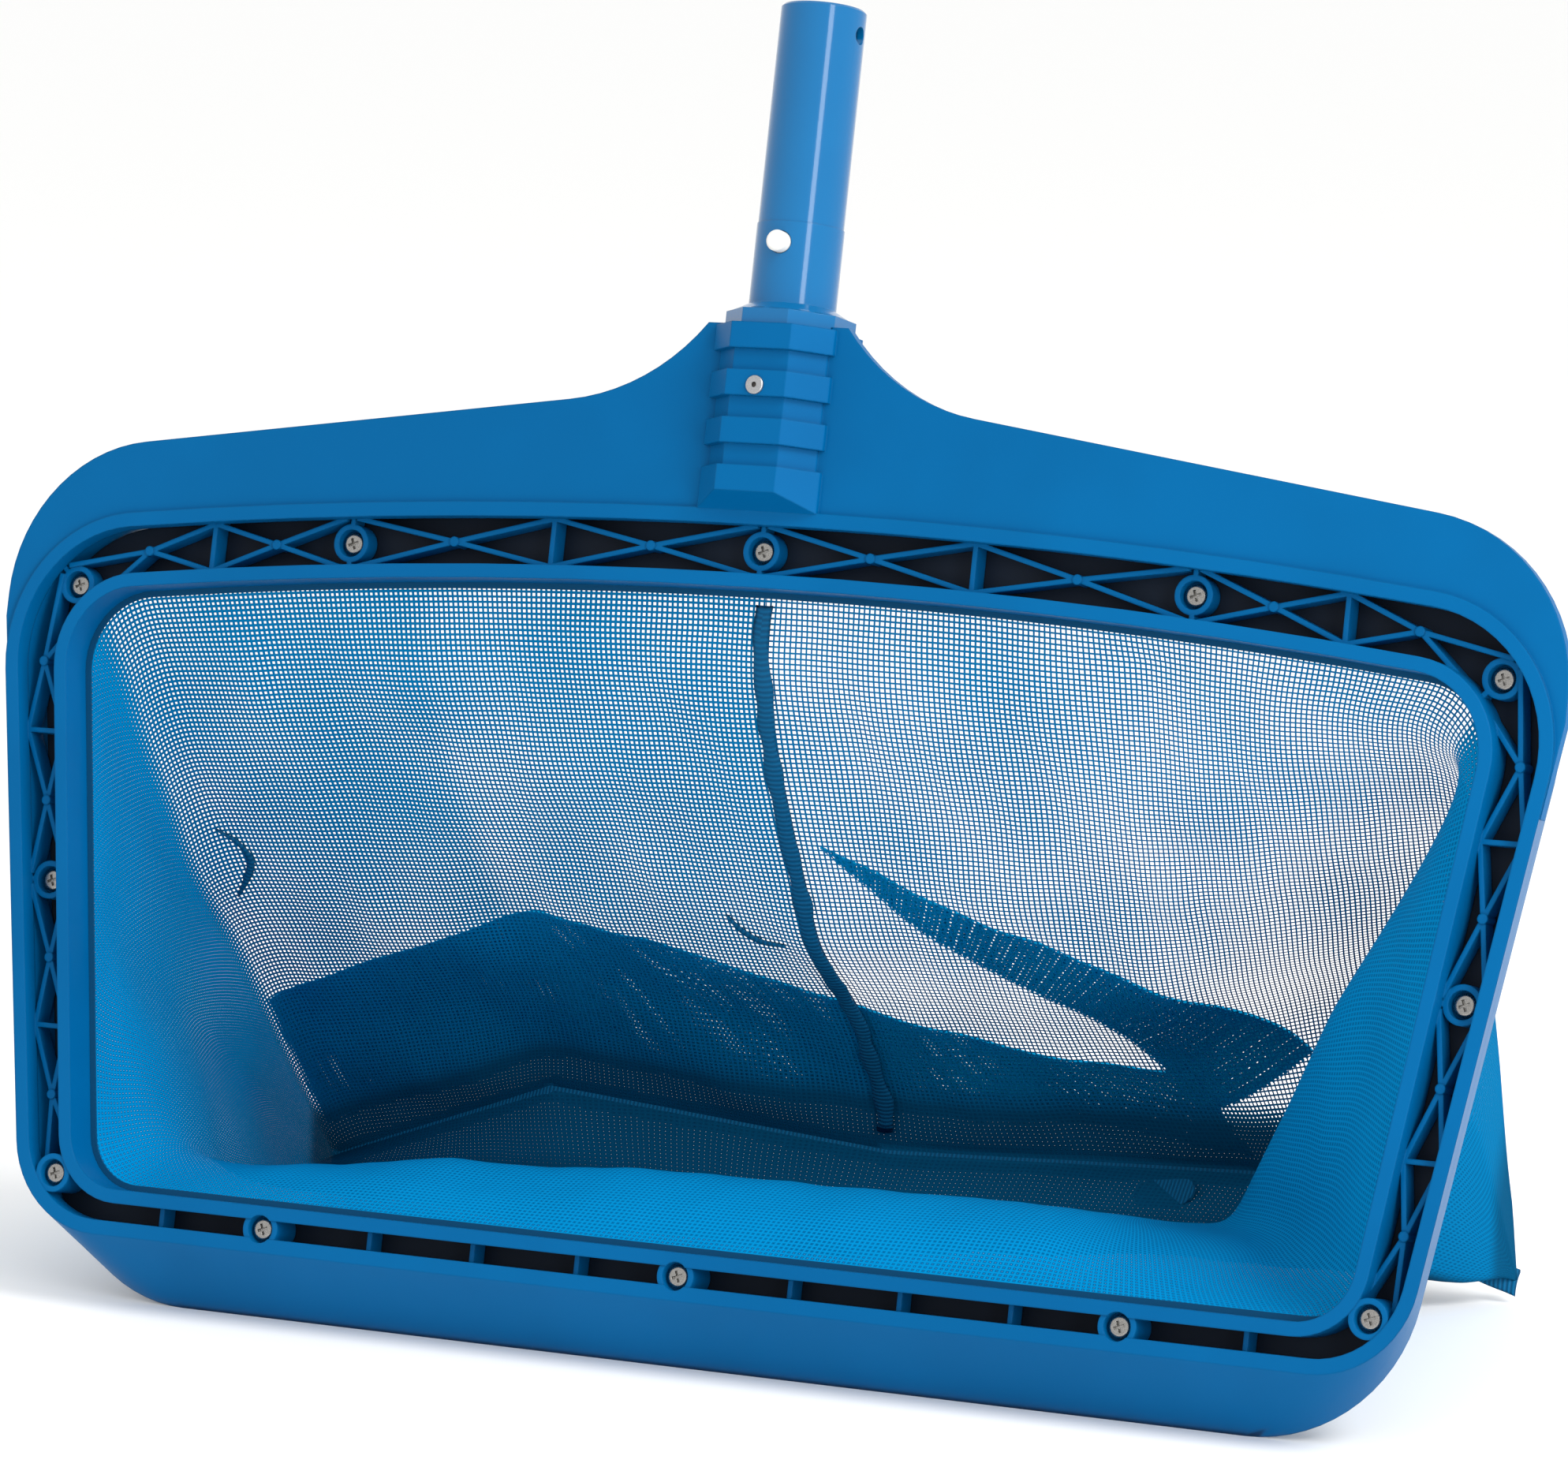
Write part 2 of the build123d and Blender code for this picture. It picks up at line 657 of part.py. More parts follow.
def screw(x, z, seat):
    """A pan-head screw with its head on the seat."""
    length = LOWER_SCREW_LENGTH if seat == LOWER_SEAT else UPPER_SCREW_LENGTH
    head = peg(x, z, SCREW_HEAD_RADIUS, seat - SCREW_HEAD_HEIGHT, seat)
    head = fillet(head.edges().filter_by(GeomType.CIRCLE).sort_by(Axis.Y)[0], SCREW_HEAD_ROUND)
    return head - cross_recess(seat, x, z) + peg(x, z, SCREW_RADIUS, seat, seat + length)


# ================================================================ bag
def bag_mouth():
    return MOUTH.inset(BAG_INSET)


def bag_end():
    """The flat oval that the far end of the bag is gathered to, resting on the floor."""
    lip = SKIRT_EDGE.bottom
    rise = math.tan(math.radians(LEAN))
    bottom = lip + (BAG_DEPTH - SKIRT_DEPTH) * rise + BAG_FLOOR_GAP
    half = BAG_END_WIDTH / 2
    return half, bottom, bottom + BAG_END_HEIGHT


def oval(shrink):
    """The end outline of the bag, drawn with the same kinds of edges as its mouth."""
    half, bottom, top = bag_end()
    half, bottom, top = half - shrink, bottom + shrink, top - shrink
    shoulder = top - BAG_END_CROWN
    edges = [
        Line((-half, bottom), (half, bottom)),
        Line((half, bottom), (half, shoulder)),
        ThreePointArc((half, shoulder), (0, top), (-half, shoulder)),
        Line((-half, shoulder), (-half, bottom)),
    ]
    sketch = make_face(edges)
    radius = BAG_END_R - shrink
    sketch = fillet(sketch.vertices().group_by(Axis.Y)[0], radius)
    tops = [v for v in sketch.vertices() if abs(v.X) > half - 0.01 and v.Y > shoulder - 0.01]
    return fillet(tops, radius)


def bag_front():
    """Depth at which the walls of the bag start, level with the hem."""
    return CHANNEL_DEPTH + HEM_THICKNESS


def bag_shell():
    """The whole bag wall, open at the mouth and closed at its far end."""
    front = bag_front()
    outer = loft(
        [on_upright(bag_mouth().face(), front), on_upright(oval(0.0), BAG_DEPTH)], ruled=True
    )
    inner = loft(
        [
            on_upright(bag_mouth().inset(BAG_WALL).face(), front),
            on_upright(oval(BAG_WALL), BAG_DEPTH),
        ],
        ruled=True,
    )
    inner &= block(-REACH, REACH, -REACH, BAG_DEPTH - BAG_WALL, -REACH, REACH)
    return outer - inner


def corner_line(high):
    """The middle of a corner of the bag at its mouth and at its far end."""
    line = bag_mouth()
    x, z = line.high_corner() if high else line.low_corner()
    r = line.r_high if high else line.r_low
    turn = math.sqrt(0.5)
    sign = 1 if high else -1
    half, bottom, top = bag_end()
    end_z = top - BAG_END_R if high else bottom + BAG_END_R
    start = Vector(x + r * turn, bag_front(), z + sign * r * turn)
    end = Vector(half - BAG_END_R * (1 - turn), BAG_DEPTH, end_z + sign * BAG_END_R * turn)
    return start, end, Vector(turn, 0, sign * turn)


def corner_plane(high, right):
    """The plane that parts the bag along one corner, facing away from the side panel."""
    start, end, outward = corner_line(high)
    along = end - start
    normal = outward.cross(along).normalized()
    if (normal.Z > 0) != high:
        normal = normal * -1
    if not right:
        start = Vector(-start.X, start.Y, start.Z)
        normal = Vector(-normal.X, normal.Y, normal.Z)
    return Plane(origin=start, z_dir=normal)


def middle_plane():
    """The plane from mid-height of the mouth to mid-height of the far end, facing up."""
    _half, bottom, top = bag_end()
    start = Vector(0, bag_front(), (OPENING_BOTTOM + OPENING_TOP) / 2)
    along = Vector(0, BAG_DEPTH, (bottom + top) / 2) - start
    return Plane(origin=start, z_dir=Vector(1, 0, 0).cross(along).normalized())


def right_half(shape):
    return shape & block(0, REACH, -REACH, REACH, -REACH, REACH)


def bag_panels():
    """The five panels of the bag, parted along its corners and its centre seam."""
    shell = bag_shell()
    upper = split(shell, bisect_by=middle_plane(), keep=Keep.TOP)
    lower = split(shell, bisect_by=middle_plane(), keep=Keep.BOTTOM)
    for right in (True, False):
        upper = split(upper, bisect_by=corner_plane(True, right), keep=Keep.TOP)
        lower = split(lower, bisect_by=corner_plane(False, right), keep=Keep.TOP)
    side = split(shell, bisect_by=corner_plane(True, True), keep=Keep.BOTTOM)
    side = split(side, bisect_by=corner_plane(False, True), keep=Keep.BOTTOM)
    side = right_half(side)
    upper = right_half(upper)
    return {
        "bag_top_right_panel": upper,
        "bag_top_left_panel": mirror(upper, about=Plane.YZ),
        "bag_bottom_panel": lower,
        "bag_right_panel": side,
        "bag_left_panel": mirror(side, about=Plane.YZ),
    }


def hem():
    """The folded hem of the bag, clamped between the inner rim and the clamp ring."""
    outer = MOUTH.inset(-HEM_SPREAD)
    inner = MOUTH.inset(BAG_INSET + BAG_WALL)
    return slab(outer.face() - inner.face(), CHANNEL_DEPTH, bag_front())


def under_top_panel():
    """The plane of the top panel's inner face on the centre line, facing into the bag.

    Its origin is at the mouth and its y axis runs to the far end.
    """
    _half, _bottom, top = bag_end()
    start = Vector(0, bag_front(), bag_mouth().top - BAG_WALL)
    along = Vector(0, BAG_DEPTH, top - BAG_WALL) - start
    inward = Vector(-1, 0, 0).cross(along).normalized()
    plane = Plane(origin=start, x_dir=Vector(-1, 0, 0), z_dir=inward)
    return plane.offset(SEAM_GAP), along.length


def centre_seam():
    """The folded seam under the joint between the two top panels."""
    plane, length = under_top_panel()
    run = length - SEAM_START - SEAM_STOP
    strip = Pos(0, SEAM_START + run / 2) * Rectangle(SEAM_WIDTH, run)
    return extrude(plane * strip, amount=SEAM_THICKNESS)


def end_tape():
    """The tape sewn along the far end of the bag."""
    half, bottom, top = bag_end()
    middle = (bottom + top) / 2
    low = middle - END_TAPE_HEIGHT / 2
    low = max(low, bottom + END_TAPE_THICKNESS * math.tan(math.radians(LEAN)))
    reach = half - BAG_END_R
    return block(
        -reach, reach, BAG_DEPTH, BAG_DEPTH + END_TAPE_THICKNESS, low, middle + END_TAPE_HEIGHT / 2
    )


def end_tab():
    """The round-ended tab sewn in with the far seam, lying under the top panel."""
    plane, length = under_top_panel()
    middle = length - SEAM_STOP - TAB_LENGTH / 2
    outline = Pos(-TAB_PLACE, middle) * SlotOverall(TAB_LENGTH, TAB_WIDTH, rotation=90)
    return extrude(plane.offset(TAB_GAP) * outline, amount=TAB_THICKNESS)


# ================================================================ handle
def regular_flat(across):
    """Width of a regular octagon's flat."""
    return across * math.tan(math.radians(22.5))


def spigot():
    """The handle: plug, eight-sided collar and hollow spigot for the pole, in one piece."""
    step = BUTTON_HEIGHT + 2 * BUTTON_RADIUS
    collar_top = SOCKET_TOP + COLLAR_HEIGHT
    body = upright_tube(PLUG_RADIUS, SOCKET_TOP - PLUG_LENGTH, SOCKET_TOP)
    body += octagon_bar(COLLAR_ACROSS, regular_flat(COLLAR_ACROSS), SOCKET_TOP, collar_top)
    body += Pos(0, AXIS_Y, collar_top) * Cone(
        COLLAR_ACROSS / 2,
        ROOT_RADIUS,
        COLLAR_CONE,
        align=(Align.CENTER, Align.CENTER, Align.MIN),
    )
    body += upright_tube(ROOT_RADIUS, collar_top, step)
    nose = upright_tube(SPIGOT_RADIUS, collar_top, SPIGOT_TOP)
    body += chamfer(nose.edges().sort_by(Axis.Z)[-1], SPIGOT_CHAMFER)
    body -= upright_tube(SPIGOT_RADIUS - SPIGOT_WALL, 0.0, REACH)
    body -= button_holes()
    body -= Pos(0, AXIS_Y, LOCK_HOLE_HEIGHT) * Rot(0, 90, 0) * Cylinder(LOCK_HOLE_RADIUS, REACH)
    return body - rivet_hole()


def button_holes():
    """The pair of holes that the snap buttons work in."""
    return peg(0, BUTTON_HEIGHT, BUTTON_RADIUS + BUTTON_CLEARANCE, -REACH, REACH)


def bore_face():
    """Distance from the axis to a flange, with its corners clear of the round bore."""
    bore = SPIGOT_RADIUS - SPIGOT_WALL
    return math.sqrt(bore**2 - BUTTON_FLANGE_RADIUS**2) - FLANGE_GAP


def front_button():
    """A domed snap button with the flange that keeps it in the spigot."""
    seat = AXIS_Y - bore_face()
    tip = AXIS_Y - ROOT_RADIUS - BUTTON_PROUD
    pin = peg(0, BUTTON_HEIGHT, BUTTON_RADIUS, tip, seat)
    pin = fillet(pin.edges().filter_by(GeomType.CIRCLE).sort_by(Axis.Y)[0], BUTTON_DOME)
    return pin + peg(0, BUTTON_HEIGHT, BUTTON_FLANGE_RADIUS, seat, seat + BUTTON_FLANGE)


def clip_spring():
    """The bent leaf inside the spigot that presses both buttons out."""
    reach = bore_face() - BUTTON_FLANGE - CLIP_GAP
    low = BUTTON_HEIGHT - CLIP_TAIL
    high = BUTTON_HEIGHT + BUTTON_FLANGE_RADIUS
    top = BUTTON_HEIGHT + CLIP_RISE
    bend = CLIP_BEND / 2
    leg = [(bend, top), (reach, high), (reach, low)]
    points = [(-x, z) for x, z in reversed(leg)] + leg
    path = FilletPolyline(*points, radius=CLIP_BEND_R)
    band = offset(path, CLIP_THICKNESS / 2, side=Side.RIGHT, closed=True)
    leaf = extrude(Plane.YZ.offset(-CLIP_WIDTH / 2) * make_face(band), amount=CLIP_WIDTH)
    return Pos(0, AXIS_Y, 0) * leaf


# ================================================================ rivet
def rivet_hole():
    """The hole through the socket's front wall and the plug."""
    return peg(0, RIVET_HEIGHT, RIVET_RADIUS + RIVET_CLEARANCE, -REACH, AXIS_Y)


def rivet_ends():
    """Where the rivet's head sits and where its flare begins."""
    face = AXIS_Y - SOCKET_ACROSS / 2
    inside = AXIS_Y - (SPIGOT_RADIUS - SPIGOT_WALL)
    return face, inside + RIVET_FLARE_GAP


def rivet():
    """The blind rivet's sleeve: flange, body and flare."""
    face, inside = rivet_ends()
    flange = peg(0, RIVET_HEIGHT, RIVET_HEAD_RADIUS, face - RIVET_HEAD, face)
    flange = fillet(flange.edges().filter_by(GeomType.CIRCLE).sort_by(Axis.Y)[0], RIVET_ROUND)
    body = flange + peg(0, RIVET_HEIGHT, RIVET_RADIUS, face, inside)
    body += peg(0, RIVET_HEIGHT, RIVET_FLARE_RADIUS, inside, inside + RIVET_FLARE)
    return body - peg(0, RIVET_HEIGHT, MANDREL_RADIUS, -REACH, inside + RIVET_FLARE - MANDREL_STOP)


def rivet_mandrel():
    """The broken-off stem left inside the rivet."""
    face, inside = rivet_ends()
    return peg(0, RIVET_HEIGHT, MANDREL_RADIUS, face + MANDREL_SINK, inside + RIVET_FLARE - MANDREL_STOP)


# ================================================================ the whole head
def nodes():
    """Every piece of the head in the drawing frame, by node name."""
    button = front_button()
    pieces = {
        "front_frame": front_frame(),
        "clamp_ring": clamp_ring(),
        "handle_spigot": spigot(),
        "front_snap_button": button,
        "rear_snap_button": mirror(button, about=Plane.XZ.offset(-AXIS_Y)),
        "clip_spring": clip_spring(),
        "socket_rivet": rivet(),
        "rivet_mandrel": rivet_mandrel(),
        "bag_hem": hem(),
        "bag_centre_seam": centre_seam(),
        "bag_end_tape": end_tape(),
        "bag_end_tab": end_tab(),
    }
    pieces.update(bag_panels())
    for name, x, z, seat in screw_places():
        pieces["screw_" + name] = screw(x, z, seat)
    return pieces


def stance(pieces):
    """The placement that leans the head back and sets it on Z = 0 about the middle of its base."""
    lean = Rotation(-LEAN, 0, 0)
    box = Compound(children=[lean * Part(piece.wrapped) for piece in pieces.values()]).bounding_box()
    centre = box.center()
    return Location((-centre.X, -centre.Y, -box.min.Z)) * lean


def main():
    os.makedirs("parts", exist_ok=True)
    pieces = nodes()
    place = stance(pieces)
    for name, piece in pieces.items():
        export_step(place * piece, "parts/" + name + ".step")
    print("placement", place)


if __name__ == "__main__":
    main()
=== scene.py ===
"""Looks of a deep-bag leaf net head for a pool pole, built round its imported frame.

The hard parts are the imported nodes, dressed in moulded plastic and metal.  The bag is
new: netting clamped round the mouth, sagging to a seam at its far end, with the folds
that spare netting makes.  Drawing coordinates are the head's own, in millimetres: X to
the right, Y from the mouth into the bag, Z up the handle, before the head leans back.
"""

import json
import logging
import math
from dataclasses import dataclass, field
from enum import Enum
from typing import Callable, Sequence

import bmesh
import bpy
from mathutils import Euler, Matrix, Vector, noise
from mathutils.bvhtree import BVHTree


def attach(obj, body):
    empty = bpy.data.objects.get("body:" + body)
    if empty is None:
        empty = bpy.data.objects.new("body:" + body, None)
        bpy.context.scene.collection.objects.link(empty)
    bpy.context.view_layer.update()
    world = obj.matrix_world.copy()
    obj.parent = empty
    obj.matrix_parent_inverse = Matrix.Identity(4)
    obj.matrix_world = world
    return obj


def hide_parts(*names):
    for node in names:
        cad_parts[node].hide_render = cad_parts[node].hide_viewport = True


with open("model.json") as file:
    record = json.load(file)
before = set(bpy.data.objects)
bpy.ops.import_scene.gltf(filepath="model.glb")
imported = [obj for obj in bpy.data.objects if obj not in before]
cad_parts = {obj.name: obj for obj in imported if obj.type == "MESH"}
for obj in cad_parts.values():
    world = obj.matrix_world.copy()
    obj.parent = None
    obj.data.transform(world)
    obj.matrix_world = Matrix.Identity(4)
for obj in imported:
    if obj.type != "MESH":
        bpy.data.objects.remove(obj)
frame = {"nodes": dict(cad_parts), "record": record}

log = logging.getLogger("leaf_net")
MM = 0.001
BODY = "net_head"
WEAVE_MAP = "weave"  # a UV map that runs along the threads, in metres
CLOSENESS = "closeness"  # a point attribute: the share of the pitch that a thread covers
PAINTED_DEEP_SHADE = "wetness"  # a point attribute: 1 where the netting gets full painted shade, deep in the bag
WHITE = "#FFFFFF"
SKY_HEIGHT = 400.0  # a drawing height well above the bag, to drop places on it from
BAG_HEIGHT = 60.0  # the bag's usual height, for a place that misses it

Point = tuple[float, float, float]


# ---------------------------------------------------------------- small helpers
def linear(code: str) -> tuple[float, float, float, float]:
    """Turns an sRGB hex colour into the linear colour that shaders take.

    Args:
        code: Six hex digits after a hash sign.

    Returns:
        Red, green, blue and an alpha of 1.
    """
    shares = [int(code[i : i + 2], 16) / 255 for i in (1, 3, 5)]
    red, green, blue = [
        s / 12.92 if s <= 0.04045 else ((s + 0.055) / 1.055) ** 2.4 for s in shares
    ]
    return red, green, blue, 1.0


def add_node(
    tree: bpy.types.NodeTree, kind: str, settings: dict | None = None, inputs: dict | None = None
) -> bpy.types.Node:
    """Adds a node with its settings, and links or sets its inputs.

    Args:
        tree: The material's or the world's node tree.
        kind: The node's type name.
        settings: Properties of the node, by name.
        inputs: A value or a socket for each input, by name or number.

    Returns:
        The new node.
    """
    node = tree.nodes.new(kind)
    for name, value in (settings or {}).items():
        setattr(node, name, value)
    for key, value in (inputs or {}).items():
        if isinstance(value, bpy.types.NodeSocket):
            tree.links.new(value, node.inputs[key])
        else:
            node.inputs[key].default_value = value
    return node


def new_material(name: str) -> tuple[bpy.types.Material, bpy.types.NodeTree]:
    """Makes an empty node material and returns it with its tree."""
    material = bpy.data.materials.new(name)
    material.use_nodes = True
    material.node_tree.nodes.clear()
    return material, material.node_tree


def finish_surface(tree: bpy.types.NodeTree, inputs: dict) -> bpy.types.Node:
    """Adds the Principled shader with its inputs and links it to the output."""
    shader = add_node(tree, "ShaderNodeBsdfPrincipled", inputs=inputs)
    add_node(tree, "ShaderNodeOutputMaterial", inputs={"Surface": shader.outputs[0]})
    return shader


def mixed_colour(
    tree: bpy.types.NodeTree, factor: bpy.types.NodeSocket, low: str, high: str
) -> bpy.types.NodeSocket:
    """Blends two hex colours by a factor.

    Args:
        tree: The material's node tree.
        factor: The socket that gives the share of the second colour.
        low: The colour at factor 0.
        high: The colour at factor 1.

    Returns:
        The socket that gives the blended colour.
    """
    mix = add_node(
        tree,
        "ShaderNodeMix",
        {"data_type": "RGBA"},
        {0: factor, 6: linear(low), 7: linear(high)},
    )
    return mix.outputs[2]


def soft_step(
    tree: bpy.types.NodeTree, value: bpy.types.NodeSocket, low: float, high: float
) -> bpy.types.NodeSocket:
    """Maps a value smoothly from 0 to 1.

    Args:
        tree: The material's node tree.
        value: The socket that gives the value.
        low: The value that gives 0.
        high: The value that gives 1.

    Returns:
        The socket that gives the result.
    """
    step = add_node(
        tree,
        "ShaderNodeMapRange",
        {"interpolation_type": "SMOOTHSTEP"},
        {"Value": value, "From Min": low, "From Max": high},
    )
    return step.outputs[0]


# ---------------------------------------------------------------- finishes
@dataclass(frozen=True)
class MouldedPlastic:
    """An injection-moulded plastic with a fine grain and edges the mould rounded off.

    The mould's texture breaks a highlight up a little, slow flow marks shift the colour by
    a shade, and each edge catches the light as a thin bright line.
    """

    name: str
    colour: str
    flow_colour: str
    roughness: float
    edge_mm: float = 0.9
    grain_mm: float = 0.5
    grain_depth_mm: float = 0.02
    flow_mm: float = 90.0
    coat: float = 0.0
    gloss: float = 0.12
    ior: float = 1.49

    def material(self) -> bpy.types.Material:
        """Builds the material."""
        material, tree = new_material(self.name)
        place = add_node(tree, "ShaderNodeTexCoord").outputs["Object"]
        flow = add_node(
            tree,
            "ShaderNodeTexNoise",
            inputs={"Vector": place, "Scale": 1 / (self.flow_mm * MM), "Detail": 3.0},
        )
        grain = add_node(
            tree,
            "ShaderNodeTexNoise",
            inputs={"Vector": place, "Scale": 1 / (self.grain_mm * MM), "Detail": 2.0},
        )
        shade = soft_step(tree, flow.outputs[0], 0.35, 0.65)
        rough = add_node(
            tree,
            "ShaderNodeMapRange",
            inputs={
                "Value": grain.outputs[0],
                "To Min": self.roughness - 0.05,
                "To Max": self.roughness + 0.06,
            },
        )
        edge = add_node(
            tree, "ShaderNodeBevel", {"samples": 4}, {"Radius": self.edge_mm * MM}
        )
        bump = add_node(
            tree,
            "ShaderNodeBump",
            inputs={
                "Strength": 0.35,
                "Distance": self.grain_depth_mm * MM,
                "Height": grain.outputs[0],
                "Normal": edge.outputs[0],
            },
        )
        finish_surface(
            tree,
            {
                "Base Color": mixed_colour(tree, shade, self.colour, self.flow_colour),
                "Roughness": rough.outputs[0],
                "Normal": bump.outputs[0],
                "IOR": self.ior,
                "Specular IOR Level": self.gloss,
                "Coat Weight": self.coat,
                "Coat Roughness": 0.08,
            },
        )
        return material


@dataclass(frozen=True)
class TurnedMetal:
    """A small metal part with fine turning marks that shift its colour and gloss a little."""

    name: str
    colour: str
    dull_colour: str
    roughness: float
    mark_mm: float = 0.35

    def material(self) -> bpy.types.Material:
        """Builds the material."""
        material, tree = new_material(self.name)
        place = add_node(tree, "ShaderNodeTexCoord").outputs["Object"]
        marks = add_node(
            tree,
            "ShaderNodeTexNoise",
            inputs={"Vector": place, "Scale": 1 / (self.mark_mm * MM), "Detail": 2.0},
        )
        rough = add_node(
            tree,
            "ShaderNodeMapRange",
            inputs={
                "Value": marks.outputs[0],
                "To Min": self.roughness - 0.06,
                "To Max": self.roughness + 0.1,
            },
        )
        edge = add_node(tree, "ShaderNodeBevel", {"samples": 4}, {"Radius": 0.25 * MM})
        finish_surface(
            tree,
            {
                "Base Color": mixed_colour(tree, marks.outputs[0], self.dull_colour, self.colour),
                "Metallic": 1.0,
                "Roughness": rough.outputs[0],
                "Normal": edge.outputs[0],
            },
        )
        return material


@dataclass(frozen=True)
class Netting:
    """Open square mesh of fine polyester threads, woven 1.9 mm apart.

    The threads are opaque and a little shiny, the holes let the light through, and where
    the netting is gathered its threads close up.  Each thread is painted lighter along its
    middle and darker at its edges, as painted highlight and shade.  The point attribute
    CLOSENESS is the share of the pitch that a thread covers, and a second point attribute
    blends in painted shade where the netting lies deep in the bag, in the shade of the bag
    and its folds.
    """

    name: str
    colour: str
    shaded_colour: str
    # painted shade colour for the netting deep in the bag
    deep_shade_colour: str
    pitch_mm: float = 1.9
    roughness: float = 0.8
    gloss: float = 0.02
    valley: float = 0.12  # height on a thread at which it starts to catch the light
    ridge: float = 0.44  # height at which it is at its brightest
    thread_edge: float = 0.04  # softness of a thread's edge, as a share of the pitch
    drift: float = 0.3  # how much slow patches brighten the threads
    patch_mm: float = 35.0
    relief_mm: float = 0.3

    def thread(
        self, tree: bpy.types.NodeTree, along: bpy.types.NodeSocket, share: bpy.types.NodeSocket
    ) -> bpy.types.NodeSocket:
        """Builds the mask of one set of parallel threads.

        Args:
            tree: The material's node tree.
            along: The coordinate across the threads, in pitches.
            share: The share of the pitch that a thread covers.

        Returns:
            The socket that is positive on a thread, and highest along its middle.
        """
        off_centre = add_node(
            tree, "ShaderNodeMath", {"operation": "PINGPONG"}, {0: along, 1: 0.5}
        )
        half = add_node(
            tree, "ShaderNodeMath", {"operation": "MULTIPLY"}, {0: share, 1: 0.5}
        )
        rise = add_node(
            tree,
            "ShaderNodeMath",
            {"operation": "SUBTRACT"},
            {0: half.outputs[0], 1: off_centre.outputs[0]},
        )
        return rise.outputs[0]

    def material(self) -> bpy.types.Material:
        """Builds the material."""
        material, tree = new_material(self.name)
        weave = add_node(tree, "ShaderNodeUVMap", {"uv_map": WEAVE_MAP})
        scaled = add_node(
            tree,
            "ShaderNodeVectorMath",
            {"operation": "SCALE"},
            {0: weave.outputs[0], "Scale": 1 / (self.pitch_mm * MM)},
        )
        split = add_node(tree, "ShaderNodeSeparateXYZ", inputs={0: scaled.outputs[0]})
        share = add_node(tree, "ShaderNodeAttribute", {"attribute_name": CLOSENESS}).outputs["Fac"]
        warp = self.thread(tree, split.outputs[0], share)
        weft = self.thread(tree, split.outputs[1], share)
        rise = add_node(tree, "ShaderNodeMath", {"operation": "MAXIMUM"}, {0: warp, 1: weft})
        solid = soft_step(tree, rise.outputs[0], -self.thread_edge, self.thread_edge)
        slow = add_node(
            tree,
            "ShaderNodeTexNoise",
            inputs={
                "Vector": add_node(tree, "ShaderNodeTexCoord").outputs["Object"],
                "Scale": 1 / (self.patch_mm * MM),
                "Detail": 2.0,
            },
        )
        bump = add_node(
            tree,
            "ShaderNodeBump",
            inputs={
                "Strength": 0.5,
                "Distance": self.relief_mm * MM,
                "Height": rise.outputs[0],
            },
        )
        wet = add_node(tree, "ShaderNodeAttribute", {"attribute_name": PAINTED_DEEP_SHADE}).outputs["Fac"]
        # Painted highlight along each thread's middle and painted shade at its edges, from its
        # height.
        crown = soft_step(tree, rise.outputs[0], self.valley, self.ridge)
        lit = add_node(
            tree,
            "ShaderNodeMath",
            {"operation": "MULTIPLY_ADD"},
            {0: slow.outputs[0], 1: self.drift, 2: crown},
        )
        thread_painted_light = mixed_colour(tree, lit.outputs[0], self.shaded_colour, self.colour)
        # Painted shade deep in the bag, blended in by its point attribute.
        with_deep_shade = add_node(
            tree,
            "ShaderNodeMix",
            {"data_type": "RGBA"},
            {0: wet, 6: thread_painted_light, 7: linear(self.deep_shade_colour)},
        )
        finish_surface(
            tree,
            {
                "Base Color": with_deep_shade.outputs[2],
                "Roughness": self.roughness,
                "Specular IOR Level": self.gloss,
                "Alpha": solid,
                "Normal": bump.outputs[0],
            },
        )
        return material


@dataclass(frozen=True)
class WovenTape:
    """Close-woven polyester tape with a rib across it every millimetre or two."""

    name: str
    colour: str
    rib_colour: str
    rib_mm: float = 1.6
    roughness: float = 0.7

    def material(self) -> bpy.types.Material:
        """Builds the material."""
        material, tree = new_material(self.name)
        weave = add_node(tree, "ShaderNodeUVMap", {"uv_map": WEAVE_MAP})
        ribs = add_node(
            tree,
            "ShaderNodeTexWave",
            {"wave_type": "BANDS", "bands_direction": "X"},
            {"Vector": weave.outputs[0], "Scale": 0.314 / (self.rib_mm * MM), "Distortion": 0.6},
        )
        threads = add_node(
            tree,
            "ShaderNodeTexNoise",
            inputs={"Vector": weave.outputs[0], "Scale": 1 / (0.6 * MM), "Detail": 3.0},
        )
        height = add_node(
            tree,
            "ShaderNodeMath",
            {"operation": "MULTIPLY_ADD"},
            {0: threads.outputs[0], 1: 0.4, 2: ribs.outputs[1]},
        )
        bump = add_node(
            tree,
            "ShaderNodeBump",
            inputs={"Strength": 0.8, "Distance": 0.25 * MM, "Height": height.outputs[0]},
        )
        finish_surface(
            tree,
            {
                "Base Color": mixed_colour(tree, ribs.outputs[1], self.rib_colour, self.colour),
                "Roughness": self.roughness,
                "Normal": bump.outputs[0],
                "Specular IOR Level": 0.15,
            },
        )
        return material


@dataclass(frozen=True)
class StudioPaper:
    """The plain white sheet that the head stands on."""

    name: str
    colour: str

    def material(self) -> bpy.types.Material:
        """Builds the material."""
        material, tree = new_material(self.name)
        finish_surface(tree, {"Base Color": linear(self.colour), "Roughness": 0.9})
        return material


# Polypropylene, moulded: soft gloss over a fine grain, deep saturated blue.
FRAME_BLUE = MouldedPlastic(
    "polypropylene_blue_moulded", "#005B91", "#00568A", roughness=0.34, gloss=0.06
)
# Polypropylene again, from a polished mould: it mirrors the lights in long streaks.
HANDLE_BLUE = MouldedPlastic(
    "polypropylene_blue_polished", "#006196", "#005C90", roughness=0.16, edge_mm=0.6, coat=0.5
)
